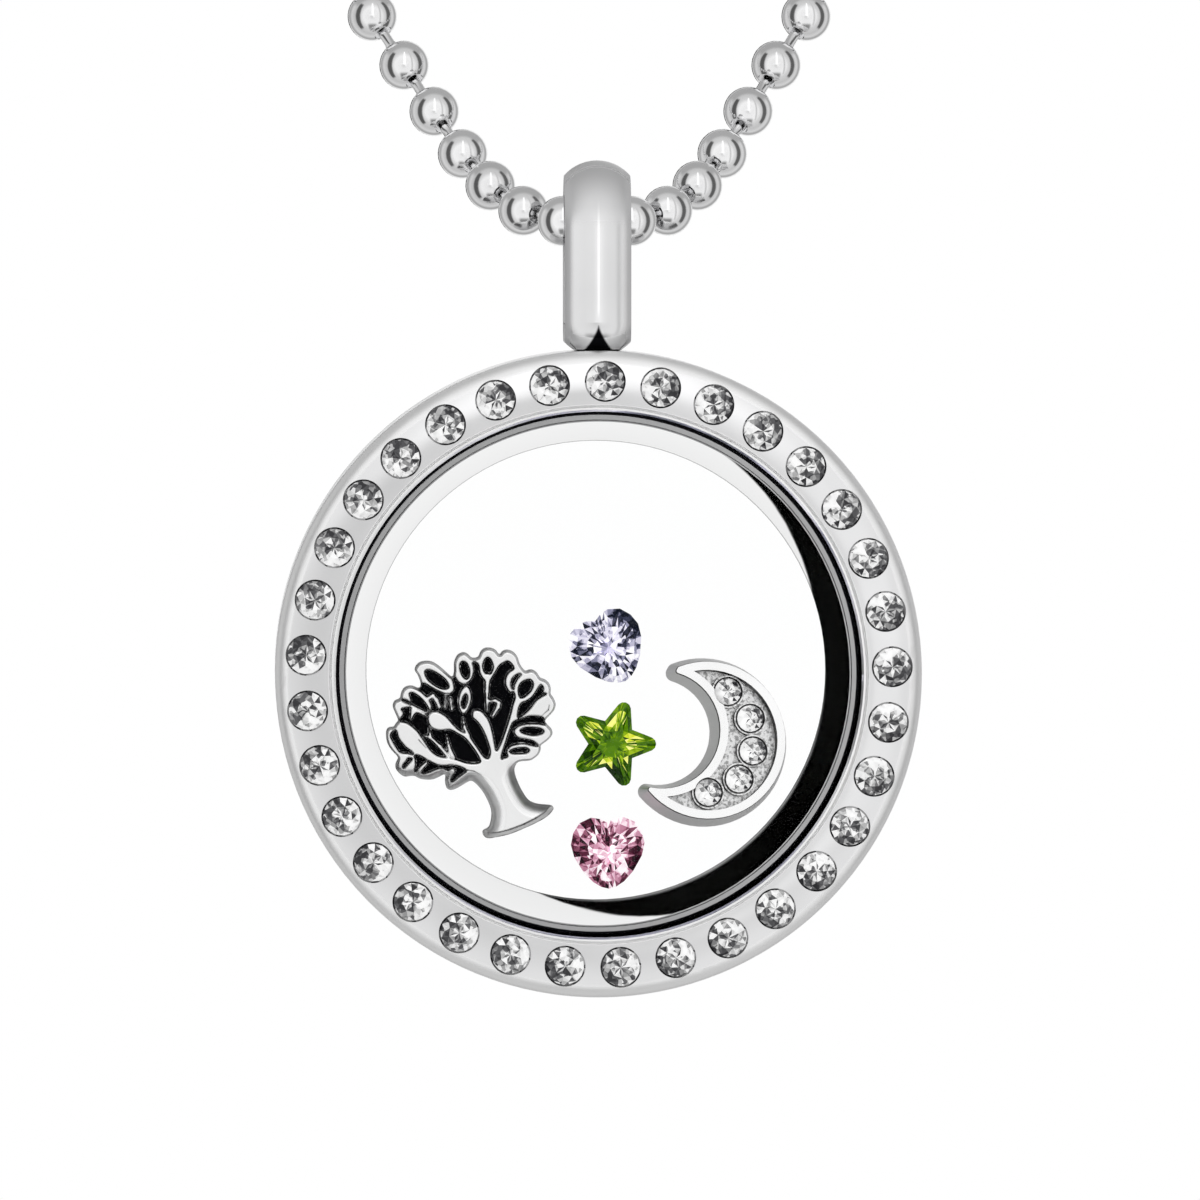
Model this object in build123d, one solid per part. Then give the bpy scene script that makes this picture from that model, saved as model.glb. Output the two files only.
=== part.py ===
"""Floating locket on a ball chain, in millimetres, +Z up, worn with its front facing -Y.

The origin is where the chain rests on the nape of the neck. The round locket hangs below and in
front of it. Every piece of the locket is drawn about the locket's own centre and then moved down.
"""

import os
from math import cos, hypot, pi, radians, sin

from build123d import *

# Locket case and bezel, as radius about the locket's axis and depth along it (front is negative)
LOCKET_RADIUS = 15.0
FRONT_Y = -3.5
BACK_Y = 3.5
EDGE_ROUND = 0.55
SPLIT_Y = -1.65
RUNNING_GAP = 0.1
LIP_RADIUS = 12.2
LIP_WIDTH = 0.18
LIP_STEP = 0.1
LIP_BACK_Y = -2.9
BORE_RADIUS = 12.7
SKIRT_RADIUS = 13.4
SKIRT_END_Y = 0.6
GROOVE_END_Y = 0.75
COLLAR_RADIUS = 12.58
COLLAR_STEP_RADIUS = 12.0
COLLAR_FRONT_Y = -2.0
COLLAR_STEP_Y = -1.5
WALL_FRONT_RADIUS = 11.7
WALL_BACK_RADIUS = 10.73
BACK_SEAT_Y = 1.95
BACK_SEAT_RADIUS = 11.25
GLASS_THICKNESS = 0.75
FRONT_GLASS_RADIUS = 12.6
BACK_GLASS_RADIUS = 11.15
GLASS_GAP = 0.06

# Round stones set flush in the bezel
CRYSTAL_COUNT = 33
CRYSTAL_PITCH_RADIUS = 13.6
CRYSTAL_FIRST_TURN = 1.2
CRYSTAL_RADIUS = 0.88
CRYSTAL_SEAT_GAP = 0.07
CRYSTAL_SEAT_EDGE = 0.22
CRYSTAL_SEAT_DEPTH = 1.0
CRYSTAL_SEAT_FLOOR_RADIUS = 0.16
CRYSTAL_CROWN = 0.2
CRYSTAL_DEPTH = 0.66
STONE_GIRDLE = 0.06
TABLE_SHARE = 0.56
STAR_SHARE = 0.79
PAVILION_SHARE = 0.28

# Bail: a domed band bent into a closed loop, round above, square below and soldered to the case
BAIL_WIDTH = 3.07
BAIL_RIDGE = 1.5
BAIL_EDGE = 0.8
BAIL_INNER_RADIUS = 1.32
BAIL_CORNER_RADIUS = 0.12
BAIL_SINK = 0.31
BEAD_ABOVE_LOCKET = 21.0

# Ball chain
BALL_RADIUS = 1.175
BALL_HOLLOW = 0.925
BALL_HOLE = 0.44
PIN_RADIUS = 0.25
PIN_HEAD_RADIUS = 0.5
PIN_LENGTH = 2.9
STRAIGHT_ENOUGH = 0.07
PITCH = 3.2
BALLS_PER_SIDE = 71
LEAN_BACK = 34.6
STRAIGHT_ANGLE = 62.0
SHOULDER_RADIUS = 100.0
# How each link leaves the bail: turn from sideways towards the wearer, and rise
FIRST_LINKS = (
    # turn, rise
    (56.0, 8.4),
    (60.0, 21.3),
    (63.6, 27.8),
    (58.5, 38.8),
    (53.1, 43.2),
    (47.2, 46.7),
)

# Clasp sleeve over the two end balls
CLASP_RADIUS = 1.65
CLASP_BORE = 1.3
CLASP_HALF_LENGTH = 3.0
CLASP_END_WALL = 0.35
CLASP_SLOT = 0.5
CLASP_SLOT_LENGTH = 3.6
CLASP_SLOT_DEPTH = 1.2
CLASP_END_HOLE = 0.5
END_BALL_X = 1.35

# Charms: each lies loose against the back glass
CHARM_BACK_Y = 1.86
TREE_PLATE = 0.8
TREE_RELIEF = 0.5
MOON_DEPTH = 1.5
MOON_BACK_Y = 1.3
MOON_TIP = 7.0
MOON_CENTRE = (714.0, 744.0)
MOON_SLOPE = 0.28
MOON_CORNER = 0.1
MOON_FLOOR = 0.75
MOON_SEAT_FLOOR = 0.5
MOON_SEAT_TOP = 1.15
MOON_COLLAR = 0.07
MOON_COLLAR_FOOT = 0.1
MOON_RIM = 0.38
MOON_STONE_RADIUS = 0.62
MOON_STONE_CROWN = 0.15
MOON_STONE_DEPTH = 0.5

# Photograph scale used to place charms: the locket's centre and its size in picture points
POINTS_PER_MM = 21.47
CENTRE_POINT = (597.0, 672.0)

# Tree: its silhouette in picture points
TREE_OUTLINE = (
    (415.0, 671.0), (417.0, 666.0), (421.0, 663.0), (427.0, 662.0), (433.0, 663.0), (438.0, 666.0),
    (443.0, 670.0), (448.0, 674.5), (451.5, 677.5), (453.5, 677.0), (454.5, 672.0), (454.5, 664.0),
    (457.0, 657.5), (460.5, 654.5), (465.0, 653.5), (469.0, 655.8), (472.0, 658.7), (476.0, 659.0),
    (479.0, 657.5), (481.0, 653.0), (484.0, 650.0), (488.0, 648.8), (493.0, 649.5), (496.5, 651.5),
    (500.0, 655.5), (503.0, 652.5), (507.0, 651.0), (512.0, 652.0), (516.0, 655.0), (518.5, 659.0),
    (520.0, 664.0), (523.0, 669.0), (526.0, 672.0), (530.0, 671.0), (534.0, 671.3), (538.0, 674.5),
    (541.0, 679.0), (546.0, 681.0), (550.0, 685.0), (551.5, 690.0), (551.3, 695.0), (554.0, 699.0),
    (556.3, 705.0), (555.0, 711.0), (551.0, 716.0), (547.0, 720.0), (546.0, 723.0), (549.0, 727.0),
    (552.5, 731.0), (552.8, 736.0), (549.0, 741.0), (545.0, 744.0), (541.5, 747.0), (541.3, 751.0),
    (539.0, 756.0), (535.0, 759.5), (530.0, 762.0), (520.0, 763.0), (516.5, 766.0), (515.0, 771.0),
    (516.0, 777.0), (519.0, 785.0), (523.0, 793.0), (528.0, 800.5), (533.0, 804.0), (540.0, 806.0),
    (551.0, 807.0), (554.0, 809.0), (553.5, 812.0), (548.0, 818.0), (538.0, 824.0), (525.0, 830.0),
    (510.0, 836.0), (495.0, 839.3), (489.0, 840.0), (485.0, 838.5), (483.0, 835.0), (484.0, 832.0),
    (489.0, 829.0), (491.0, 824.0), (492.0, 817.0), (491.5, 811.0), (489.0, 804.0), (485.0, 796.0),
    (480.0, 789.0), (475.0, 784.0), (471.0, 782.3), (467.0, 784.0), (462.0, 787.0), (456.0, 790.3),
    (450.5, 791.5), (446.8, 789.0), (445.5, 783.0), (445.8, 777.5), (444.0, 776.0), (439.0, 778.5),
    (433.0, 780.8), (426.0, 781.0), (420.0, 780.0), (415.0, 777.5), (411.0, 777.3), (405.0, 778.0),
    (400.0, 775.0), (396.0, 770.0), (396.0, 765.0), (398.0, 760.5), (397.5, 757.5), (391.5, 751.0),
    (387.5, 744.0), (386.3, 737.0), (387.0, 731.0), (390.0, 728.5), (394.0, 728.0), (396.0, 725.0),
    (398.3, 722.0), (397.0, 717.5), (394.5, 712.0), (393.0, 707.0), (395.0, 702.0), (400.0, 699.5),
    (401.5, 694.0), (404.0, 689.5), (408.0, 687.2), (413.0, 687.0), (418.0, 689.0), (420.5, 688.3),
    (421.0, 685.0), (420.0, 681.0), (418.0, 676.0),
)

# The sunk ground between the tree's branches and leaves
TREE_GROUND = (
    (455.5, 678.0), (458.0, 682.5), (463.0, 685.3), (468.0, 684.0), (472.5, 679.0), (474.5, 672.0),
    (474.0, 666.0), (473.5, 663.5), (477.0, 664.0), (479.0, 667.5), (479.5, 673.0), (482.0, 678.5),
    (486.0, 681.5), (491.0, 680.5), (494.0, 676.0), (497.0, 671.0), (500.0, 666.5), (503.5, 664.0),
    (507.5, 662.3), (511.0, 664.5), (513.5, 669.0), (509.5, 672.0), (506.0, 677.0), (505.0, 684.0),
    (507.5, 690.5), (511.0, 694.0), (513.3, 692.5), (514.7, 698.0), (513.0, 704.0), (511.3, 711.0),
    (508.5, 721.0), (505.0, 732.0), (501.0, 743.0), (497.0, 750.7), (495.5, 745.0), (493.7, 735.0),
    (491.5, 726.0), (489.0, 720.0), (485.0, 714.5), (481.0, 711.0), (477.0, 710.0), (473.5, 711.0),
    (472.0, 715.0), (473.0, 719.0), (477.0, 722.5), (481.0, 728.0), (485.0, 736.0), (488.3, 745.0),
    (490.0, 752.0), (489.0, 757.5), (486.5, 758.5), (483.0, 755.5), (478.0, 748.0), (472.5, 740.0),
    (468.5, 733.5), (463.5, 732.5), (458.0, 729.0), (452.0, 722.5), (447.0, 717.0), (441.0, 713.0),
    (436.0, 711.5), (431.0, 712.5), (428.3, 716.0), (427.5, 721.0), (430.0, 727.0), (434.0, 730.0),
    (440.0, 731.7), (447.0, 731.0), (452.0, 731.5), (458.0, 735.0), (464.0, 738.5), (469.0, 744.0),
    (475.0, 752.0), (479.0, 759.0), (479.7, 762.5), (473.0, 763.7), (465.0, 762.5), (458.0, 760.0),
    (450.0, 758.0), (443.0, 757.3), (437.0, 755.5), (431.0, 750.5), (426.5, 744.0), (422.5, 738.0),
    (418.0, 731.5), (412.0, 726.0), (406.0, 722.5), (401.0, 721.7), (400.0, 720.3), (403.0, 717.0),
    (404.0, 713.0), (402.0, 710.0), (405.0, 709.0), (410.0, 708.5), (416.0, 711.0), (421.0, 713.0),
    (426.0, 714.5), (427.8, 713.0), (430.0, 711.5), (432.0, 709.0), (432.0, 705.5), (429.0, 700.0),
    (425.5, 695.5), (421.0, 691.5), (419.0, 690.0), (421.3, 687.5), (422.5, 684.5), (425.5, 684.8),
    (431.0, 688.0), (438.0, 691.7), (445.0, 694.8), (450.0, 695.0), (454.0, 692.0), (455.0, 688.0),
    (454.0, 683.0), (452.7, 680.0), (454.0, 678.8),
)

# Smaller hollows in the leaves and between them
TREE_HOLLOWS = (
    (
        (426.0, 671.5), (430.0, 671.0), (436.0, 673.5), (442.0, 677.5), (446.5, 682.0),
        (448.5, 687.0), (446.0, 689.0), (441.0, 688.5), (435.0, 685.5), (429.0, 680.5),
        (426.0, 675.0),
    ),
    (
        (461.0, 664.0), (463.0, 662.5), (466.0, 663.5), (468.5, 668.0), (469.5, 673.0),
        (468.5, 678.0), (466.0, 679.0), (463.0, 676.0), (461.0, 671.0), (460.5, 667.0),
    ),
    (
        (485.0, 661.0), (488.0, 658.5), (491.0, 661.0), (493.0, 667.0), (492.0, 672.0),
        (488.5, 675.5), (485.0, 672.0), (483.5, 667.0),
    ),
    (
        (521.5, 730.5), (526.0, 728.7), (533.0, 728.5), (540.0, 729.5), (543.5, 731.8),
        (541.0, 734.5), (534.0, 735.7), (526.0, 734.3), (522.0, 732.5),
    ),
    (
        (510.5, 752.0), (514.0, 750.0), (520.0, 749.0), (526.0, 749.0), (529.0, 751.0),
        (526.0, 753.5), (519.0, 754.0), (513.0, 754.0),
    ),
    (
        (519.5, 688.0), (522.0, 683.5), (527.0, 681.0), (531.0, 681.0), (533.0, 685.0),
        (531.0, 691.0), (526.0, 696.0), (521.5, 698.0), (519.5, 694.0),
    ),
    (
        (511.5, 684.0), (513.0, 679.0), (517.0, 675.5), (521.0, 675.0), (518.5, 678.0),
        (516.0, 682.0), (514.0, 687.0), (513.5, 690.0), (512.0, 688.0),
    ),
    (
        (538.5, 689.5), (541.0, 686.0), (543.2, 689.0), (542.7, 693.5), (546.0, 694.5),
        (541.5, 697.0), (536.0, 701.0), (531.5, 707.0), (526.0, 713.0), (518.8, 718.0),
        (519.0, 711.0), (521.5, 704.5), (527.0, 702.0), (532.0, 698.5), (536.0, 693.5),
    ),
    (
        (514.5, 722.5), (521.0, 720.0), (529.0, 717.5), (538.0, 717.5), (543.0, 718.7),
        (544.5, 722.0), (545.0, 725.0), (540.0, 724.3), (531.0, 724.0), (523.0, 725.0),
        (517.0, 727.5), (514.0, 731.5), (515.0, 736.0), (519.0, 739.0), (526.0, 740.3),
        (533.0, 742.0), (538.0, 746.3), (532.0, 745.8), (526.0, 744.3), (519.0, 744.2),
        (512.0, 745.8), (508.0, 749.0), (506.5, 753.0), (507.5, 757.0), (504.0, 758.3),
        (502.0, 759.0), (503.0, 753.0), (506.0, 744.0), (509.0, 735.0), (511.5, 727.0),
    ),
    (
        (410.0, 694.5), (413.5, 694.0), (419.0, 697.5), (424.0, 702.5), (428.0, 708.5),
        (428.5, 711.0), (426.0, 711.5), (422.0, 709.5), (415.0, 706.0), (411.5, 703.5),
        (411.5, 699.5),
    ),
    (
        (402.0, 699.9), (406.0, 700.5), (410.0, 702.5), (411.5, 704.7), (408.0, 704.0),
        (404.0, 702.0),
    ),
    (
        (394.5, 731.3), (391.0, 736.0), (393.5, 742.0), (397.0, 748.0), (401.0, 752.6),
        (408.0, 753.6), (413.0, 754.8), (411.0, 752.0), (406.0, 748.5), (401.5, 743.5),
        (398.0, 738.0), (396.5, 732.5),
    ),
    (
        (415.0, 756.5), (419.0, 756.7), (425.0, 759.8), (431.0, 763.2), (438.0, 766.2),
        (445.0, 767.0), (452.0, 766.3), (460.0, 768.0), (466.0, 771.3), (462.0, 775.2),
        (457.0, 779.0), (453.0, 782.5), (451.0, 781.2), (452.5, 777.5), (455.5, 773.5),
        (455.5, 769.8), (452.5, 768.5), (449.5, 770.0), (447.5, 771.0), (443.0, 768.6),
        (437.0, 769.3), (431.0, 772.0), (425.0, 774.0), (422.0, 773.3), (424.0, 769.5),
        (427.5, 765.5), (428.3, 763.0), (426.0, 762.3), (421.5, 765.5), (418.0, 769.5),
        (416.0, 772.5), (415.0, 771.0), (416.3, 765.0), (416.0, 760.5),
    ),
    (
        (403.0, 767.8), (404.0, 765.0), (406.5, 762.0), (408.0, 759.4), (411.0, 759.2),
        (411.5, 760.5), (409.0, 763.5), (406.0, 766.8), (404.0, 768.5),
    ),
)

# Raised shapes that stand alone on the ground, and the hollow in one of them
TREE_ISLANDS = (
    (
        (458.3, 701.0), (459.5, 694.5), (462.5, 688.5), (467.0, 686.2), (470.5, 689.5),
        (472.0, 696.0), (471.5, 703.0), (469.0, 709.0), (465.5, 714.5), (462.0, 714.3),
        (459.3, 709.5),
    ),
    (
        (410.5, 709.0), (413.0, 706.3), (418.0, 709.5), (424.0, 712.5), (427.0, 716.0),
        (425.0, 717.5), (420.0, 714.8), (416.0, 714.5), (413.5, 718.0), (411.5, 720.5),
        (409.7, 719.5), (410.3, 714.0),
    ),
    (
        (449.5, 757.5), (446.8, 746.0), (446.0, 737.5), (447.5, 736.0), (449.5, 740.5),
        (452.0, 748.5), (456.5, 759.0),
    ),
)
ISLAND_HOLLOWS = (
    (
        (463.5, 698.0), (466.0, 695.0), (467.6, 698.0), (467.0, 703.0), (465.0, 708.0),
        (463.0, 708.0), (462.0, 704.0),
    ),
)

# Thin raised twigs and stalks
TREE_TWIGS = (
    # from_x, from_y, to_x, to_y, from_width, to_width
    (445.5, 698.0, 445.3, 708.5, 3.2, 3.0),
    (450.8, 699.5, 452.0, 710.0, 3.8, 3.8),
    (428.5, 699.0, 433.0, 696.3, 5.0, 4.8),
    (433.0, 696.3, 436.7, 700.5, 4.8, 4.6),
    (436.7, 700.5, 439.5, 707.5, 4.6, 4.8),
    (488.0, 677.0, 487.3, 692.0, 7.0, 4.6),
    (487.3, 692.0, 487.5, 710.5, 4.6, 3.8),
    (488.0, 701.8, 495.5, 701.2, 3.6, 4.2),
    (495.5, 701.2, 499.3, 703.5, 4.2, 4.4),
    (499.3, 703.5, 498.5, 707.5, 4.4, 4.6),
    (498.5, 707.5, 493.2, 716.5, 4.6, 3.8),
    (449.0, 758.0, 440.0, 747.0, 5.0, 4.2),
    (440.0, 747.0, 430.5, 738.0, 4.2, 4.0),
    (430.5, 738.0, 429.7, 729.8, 4.0, 2.6),
    (430.0, 737.5, 425.8, 736.8, 3.6, 2.8),
    (468.5, 736.0, 464.8, 728.0, 4.6, 3.8),
    (464.8, 728.0, 463.3, 719.5, 3.8, 3.2),
)

# Moon: outer and inner arcs and the blunt ends between them, in picture points
MOON_TOP_OUTER = (670.0, 666.5)
MOON_OUTER_MID = (788.5, 740.0)
MOON_LOW_OUTER = (634.5, 793.0)
MOON_LOW_INNER = (636.5, 783.0)
MOON_INNER_MID = (710.5, 738.0)
MOON_TOP_INNER = (662.0, 681.0)
MOON_STONES = (
    # x, y
    (725.6, 694.9),
    (748.2, 721.7),
    (750.7, 754.3),
    (736.5, 782.6),
    (705.2, 796.3),
)

# Loose fancy-cut stones: centre in picture points, half width and turn
HEARTS = (
    # name, x, y, half_width, turn
    ("heart_lavender", 609.0, 648.5, 1.74, 27.0),
    ("heart_pink", 608.3, 853.0, 1.72, 1.5),
)
# Right half of a heart from notch to point, in half widths
HEART_HALF = (
    # across, up
    (0.0, 0.8),
    (0.2, 0.9),
    (0.44, 0.94),
    (0.75, 0.8),
    (0.93, 0.53),
    (1.0, 0.22),
    (0.92, -0.12),
    (0.67, -0.54),
    (0.42, -0.81),
    (0.2, -0.95),
    (0.0, -1.0),
)
STAR_CENTRE = (613.0, 745.0)
STAR_TIP_RADIUS = 2.04
STAR_VALLEY_RADIUS = 1.13
STAR_TIP_ROUND = 0.33
STAR_TIP_TURNS = (-66.0, -33.0, 0.0, 33.0, 66.0)
CHARM_STONE_BACK_Y = 1.75
FANCY_GIRDLE = 0.12
FANCY_TABLE_SHARE = 0.55
FANCY_MIDDLE_SHARE = 0.8
FANCY_MIDDLE_HEIGHT = 0.55
HEART_CROWN = 0.5
HEART_DEPTH = 1.15
STAR_CROWN = 0.45
STAR_DEPTH = 1.0


def charm_point(point):
    """Picture point to millimetres across and up from the locket's centre."""
    return (
        (point[0] - CENTRE_POINT[0]) / POINTS_PER_MM,
        (CENTRE_POINT[1] - point[1]) / POINTS_PER_MM,
    )


def revolve_profile(points, rounded=None):
    """Solid of revolution about the locket's axis from (radius, depth) corners.

    rounded is the corner to round by EDGE_ROUND, or None.
    """
    section = make_face(Polyline(*points, close=True))
    if rounded is not None:
        corner = section.vertices().sort_by_distance((*rounded, 0.0))[0]
        section = fillet(corner, EDGE_ROUND)
    return revolve(section, Axis.Y)


def disc(radius, front, back):
    """Round plate between two depths."""
    return revolve_profile(((0.0, front), (radius, front), (radius, back), (0.0, back)))


def faceted_solid(faces):
    """Closed solid from flat faces given as lists of corners."""
    flat = [Face(Wire(Polyline(*corners, close=True))) for corners in faces]
    return Solid(Shell(flat))


def strip_faces(upper, lower):
    """Triangles that join two rings of the same number of corners."""
    faces = []
    count = len(upper)
    for k in range(count):
        after = (k + 1) % count
        faces.append((upper[k], lower[k], lower[after]))
        faces.append((upper[k], lower[after], upper[after]))
    return faces


def cut_stone(girdle, table, crown_mid, depths):
    """Faceted stone from girdle, table and crown rings.

    depths holds the depths of table, crown middle, girdle top, girdle bottom and culet.
    """
    table_y, mid_y, girdle_front, girdle_back, culet_y = depths
    top = [(x, table_y, z) for x, z in table]
    middle = [(x, mid_y, z) for x, z in crown_mid]
    front = [(x, girdle_front, z) for x, z in girdle]
    back = [(x, girdle_back, z) for x, z in girdle]
    centre_x = sum(x for x, _ in girdle) / len(girdle)
    centre_z = sum(z for _, z in girdle) / len(girdle)
    culet = (centre_x, culet_y, centre_z)
    faces = [top]
    faces += strip_faces(top, middle)
    faces += strip_faces(middle, front)
    faces += strip_faces(front, back)
    count = len(back)
    faces += [(back[k], culet, back[(k + 1) % count]) for k in range(count)]
    return faceted_solid(faces)


def round_stone(radius, front_y, height_front, height_back):
    """Brilliant-cut round stone whose girdle starts at front_y.

    Eight-fold: an octagonal table, star facets, kites, paired facets at the girdle above and
    below, and eight long kites that meet at the culet. Kites are flat because each side tip lies
    on the plane through the kite's own radial line.
    """
    half_step = pi / 8.0
    girdle_back = front_y + STONE_GIRDLE

    def corner(share, turn, depth):
        return (radius * share * cos(turn), depth, radius * share * sin(turn))

    def crown_tip_depth():
        rise = height_front * (1.0 - STAR_SHARE * cos(half_step)) / (1.0 - TABLE_SHARE)
        return front_y - rise

    def pavilion_tip_depth():
        return girdle_back + height_back * (1.0 - PAVILION_SHARE * cos(half_step))

    culet = (0.0, girdle_back + height_back, 0.0)
    table = [corner(TABLE_SHARE, 2 * k * half_step, front_y - height_front) for k in range(8)]
    faces = [table]
    for k in range(8):
        here = 2 * k * half_step
        before, middle, after = here - half_step, here + half_step, here + 2 * half_step
        upper, next_upper = table[k], table[(k + 1) % 8]
        tip_before = corner(STAR_SHARE, before, crown_tip_depth())
        tip = corner(STAR_SHARE, middle, crown_tip_depth())
        low_before = corner(PAVILION_SHARE, before, pavilion_tip_depth())
        low_tip = corner(PAVILION_SHARE, middle, pavilion_tip_depth())
        top = [corner(1.0, turn, front_y) for turn in (here, middle, after)]
        bottom = [corner(1.0, turn, girdle_back) for turn in (here, middle, after)]
        faces.append((upper, next_upper, tip))
        faces.append((upper, tip, top[0], tip_before))
        faces.append((culet, low_before, bottom[0], low_tip))
        for j in range(2):
            faces.append((tip, top[j], top[j + 1]))
            faces.append((top[j], bottom[j], bottom[j + 1], top[j + 1]))
            faces.append((low_tip, bottom[j], bottom[j + 1]))
    return faceted_solid(faces)


def build_bezel():
    """Front ring with its glass lip, threaded skirt drawn plain, and a seat for each stone."""
    edge = (LOCKET_RADIUS, FRONT_Y)
    groove = LIP_RADIUS + LIP_WIDTH
    body = revolve_profile(
        (
            (LIP_RADIUS, LIP_BACK_Y),
            (LIP_RADIUS, FRONT_Y + 2.0 * LIP_STEP),
            (LIP_RADIUS + 0.5 * LIP_WIDTH, FRONT_Y + 0.7 * LIP_STEP),
            (groove, FRONT_Y + 0.7 * LIP_STEP),
            (groove + 0.3 * LIP_STEP, FRONT_Y + 2.0 * LIP_STEP),
            (groove + 1.3 * LIP_STEP, FRONT_Y),
            edge,
            (LOCKET_RADIUS, SPLIT_Y),
            (SKIRT_RADIUS, SPLIT_Y),
            (SKIRT_RADIUS, SKIRT_END_Y),
            (BORE_RADIUS, SKIRT_END_Y),
            (BORE_RADIUS, LIP_BACK_Y),
        ),
        edge,
    )
    seat_radius = CRYSTAL_RADIUS + CRYSTAL_SEAT_GAP
    seat = revolve_profile(
        (
            (0.0, FRONT_Y - CRYSTAL_SEAT_DEPTH),
            (seat_radius, FRONT_Y - CRYSTAL_SEAT_DEPTH),
            (seat_radius, FRONT_Y + CRYSTAL_SEAT_EDGE),
            (CRYSTAL_SEAT_FLOOR_RADIUS, FRONT_Y + CRYSTAL_SEAT_DEPTH),
            (0.0, FRONT_Y + CRYSTAL_SEAT_DEPTH),
        )
    )
    seats = [Pos(x, 0.0, z) * seat for x, z in crystal_places()]
    return body - seats


def crystal_places():
    """Centres of the bezel stones, clockwise from the top as seen from the front."""
    step = 360.0 / CRYSTAL_COUNT
    places = []
    for k in range(CRYSTAL_COUNT):
        turn = radians(CRYSTAL_FIRST_TURN + step * k)
        places.append((CRYSTAL_PITCH_RADIUS * sin(turn), CRYSTAL_PITCH_RADIUS * cos(turn)))
    return places


def build_case():
    """Back half of the locket with the bail soldered on its rim."""
    split = SPLIT_Y + RUNNING_GAP
    groove_out = SKIRT_RADIUS + RUNNING_GAP
    edge = (LOCKET_RADIUS, BACK_Y)
    body = revolve_profile(
        (
            (WALL_FRONT_RADIUS, COLLAR_FRONT_Y),
            (COLLAR_STEP_RADIUS, COLLAR_FRONT_Y),
            (COLLAR_STEP_RADIUS, COLLAR_STEP_Y),
            (COLLAR_RADIUS, COLLAR_STEP_Y),
            (COLLAR_RADIUS, GROOVE_END_Y),
            (groove_out, GROOVE_END_Y),
            (groove_out, split),
            (LOCKET_RADIUS, split),
            edge,
            (BACK_SEAT_RADIUS, BACK_Y),
            (BACK_SEAT_RADIUS, BACK_SEAT_Y),
            (WALL_BACK_RADIUS, BACK_SEAT_Y),
        ),
        edge,
    )
    return body + build_bail()


def bail_section(low):
    """Cross-section of the band, flat inside and domed outside, drawn across X and out along Y.

    low is how far out the flat inside lies.
    """
    half = BAIL_WIDTH / 2.0
    edge = low + BAIL_EDGE
    dome = ThreePointArc((half, edge), (0.0, low + BAIL_RIDGE), (-half, edge))
    sides = Polyline((-half, edge), (-half, low), (half, low), (half, edge))
    return make_face([dome, *sides.edges()])


def build_bail():
    """Closed band round a slot for the chain, sunk in the case rim and clear of the bezel's."""
    top_z = BEAD_ABOVE_LOCKET
    low_z = LOCKET_RADIUS - BAIL_SINK + BAIL_RIDGE + BAIL_CORNER_RADIUS
    corner_y = BAIL_INNER_RADIUS - BAIL_CORNER_RADIUS
    wide = bail_section(BAIL_INNER_RADIUS)
    tight = bail_section(BAIL_CORNER_RADIUS)
    bail = Pos(0.0, 0.0, top_z) * revolve(wide, Axis.X, 180.0)
    post = extrude(wide, top_z - low_z)
    bail += Pos(0.0, 0.0, low_z) * post
    bail += Pos(0.0, 0.0, low_z) * Rot(0.0, 0.0, 180.0) * post
    corner = revolve(tight, Axis.X, 90.0)
    bail += Pos(0.0, corner_y, low_z) * Rot(-90.0, 0.0, 0.0) * corner
    bail += Pos(0.0, -corner_y, low_z) * Rot(180.0, 0.0, 0.0) * corner
    foot = extrude(tight, 2.0 * corner_y)
    bail += Pos(0.0, -corner_y, low_z) * Rot(-90.0, 0.0, 0.0) * foot
    return bail - disc(LOCKET_RADIUS + RUNNING_GAP, FRONT_Y, SPLIT_Y + RUNNING_GAP)


def twig_face(row):
    """Tapered twig between two points with round ends."""
    start = charm_point(row[0:2])
    finish = charm_point(row[2:4])
    start_half = row[4] / POINTS_PER_MM / 2.0
    finish_half = row[5] / POINTS_PER_MM / 2.0
    run = hypot(finish[0] - start[0], finish[1] - start[1])
    along = ((finish[0] - start[0]) / run, (finish[1] - start[1]) / run)
    across = (-along[1], along[0])
    corners = (
        (start[0] + across[0] * start_half, start[1] + across[1] * start_half),
        (start[0] - across[0] * start_half, start[1] - across[1] * start_half),
        (finish[0] - across[0] * finish_half, finish[1] - across[1] * finish_half),
        (finish[0] + across[0] * finish_half, finish[1] + across[1] * finish_half),
    )
    strip = make_face(Polyline(*corners, close=True))
    return strip + Pos(*start) * Circle(start_half) + Pos(*finish) * Circle(finish_half)


def flat_face(points):
    """Face inside straight lines between picture points."""
    return make_face(Polyline(*[charm_point(point) for point in points], close=True))


def stand_up(shape, back_y):
    """Turn a shape drawn flat, thick towards +Z, to face the front with its back at back_y."""
    return Pos(0.0, back_y, 0.0) * Rot(90.0, 0.0, 0.0) * shape


def build_tree():
    """Tree charm: raised leaves, branches and trunk over a ground sunk into a plate."""
    plate = flat_face(TREE_OUTLINE)
    relief = plate - flat_face(TREE_GROUND)
    for hollow in TREE_HOLLOWS:
        relief -= flat_face(hollow)
    for island in TREE_ISLANDS:
        relief += flat_face(island)
    for row in TREE_TWIGS:
        relief += twig_face(row)
    for hollow in ISLAND_HOLLOWS:
        relief -= flat_face(hollow)
    base = extrude(plate, TREE_PLATE)
    raised = extrude(relief, TREE_PLATE + TREE_RELIEF)
    return stand_up(base + raised, CHARM_BACK_Y)


def arc_through(start, middle, finish):
    """Arc through three picture points."""
    return ThreePointArc(charm_point(start), charm_point(middle), charm_point(finish))


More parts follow.
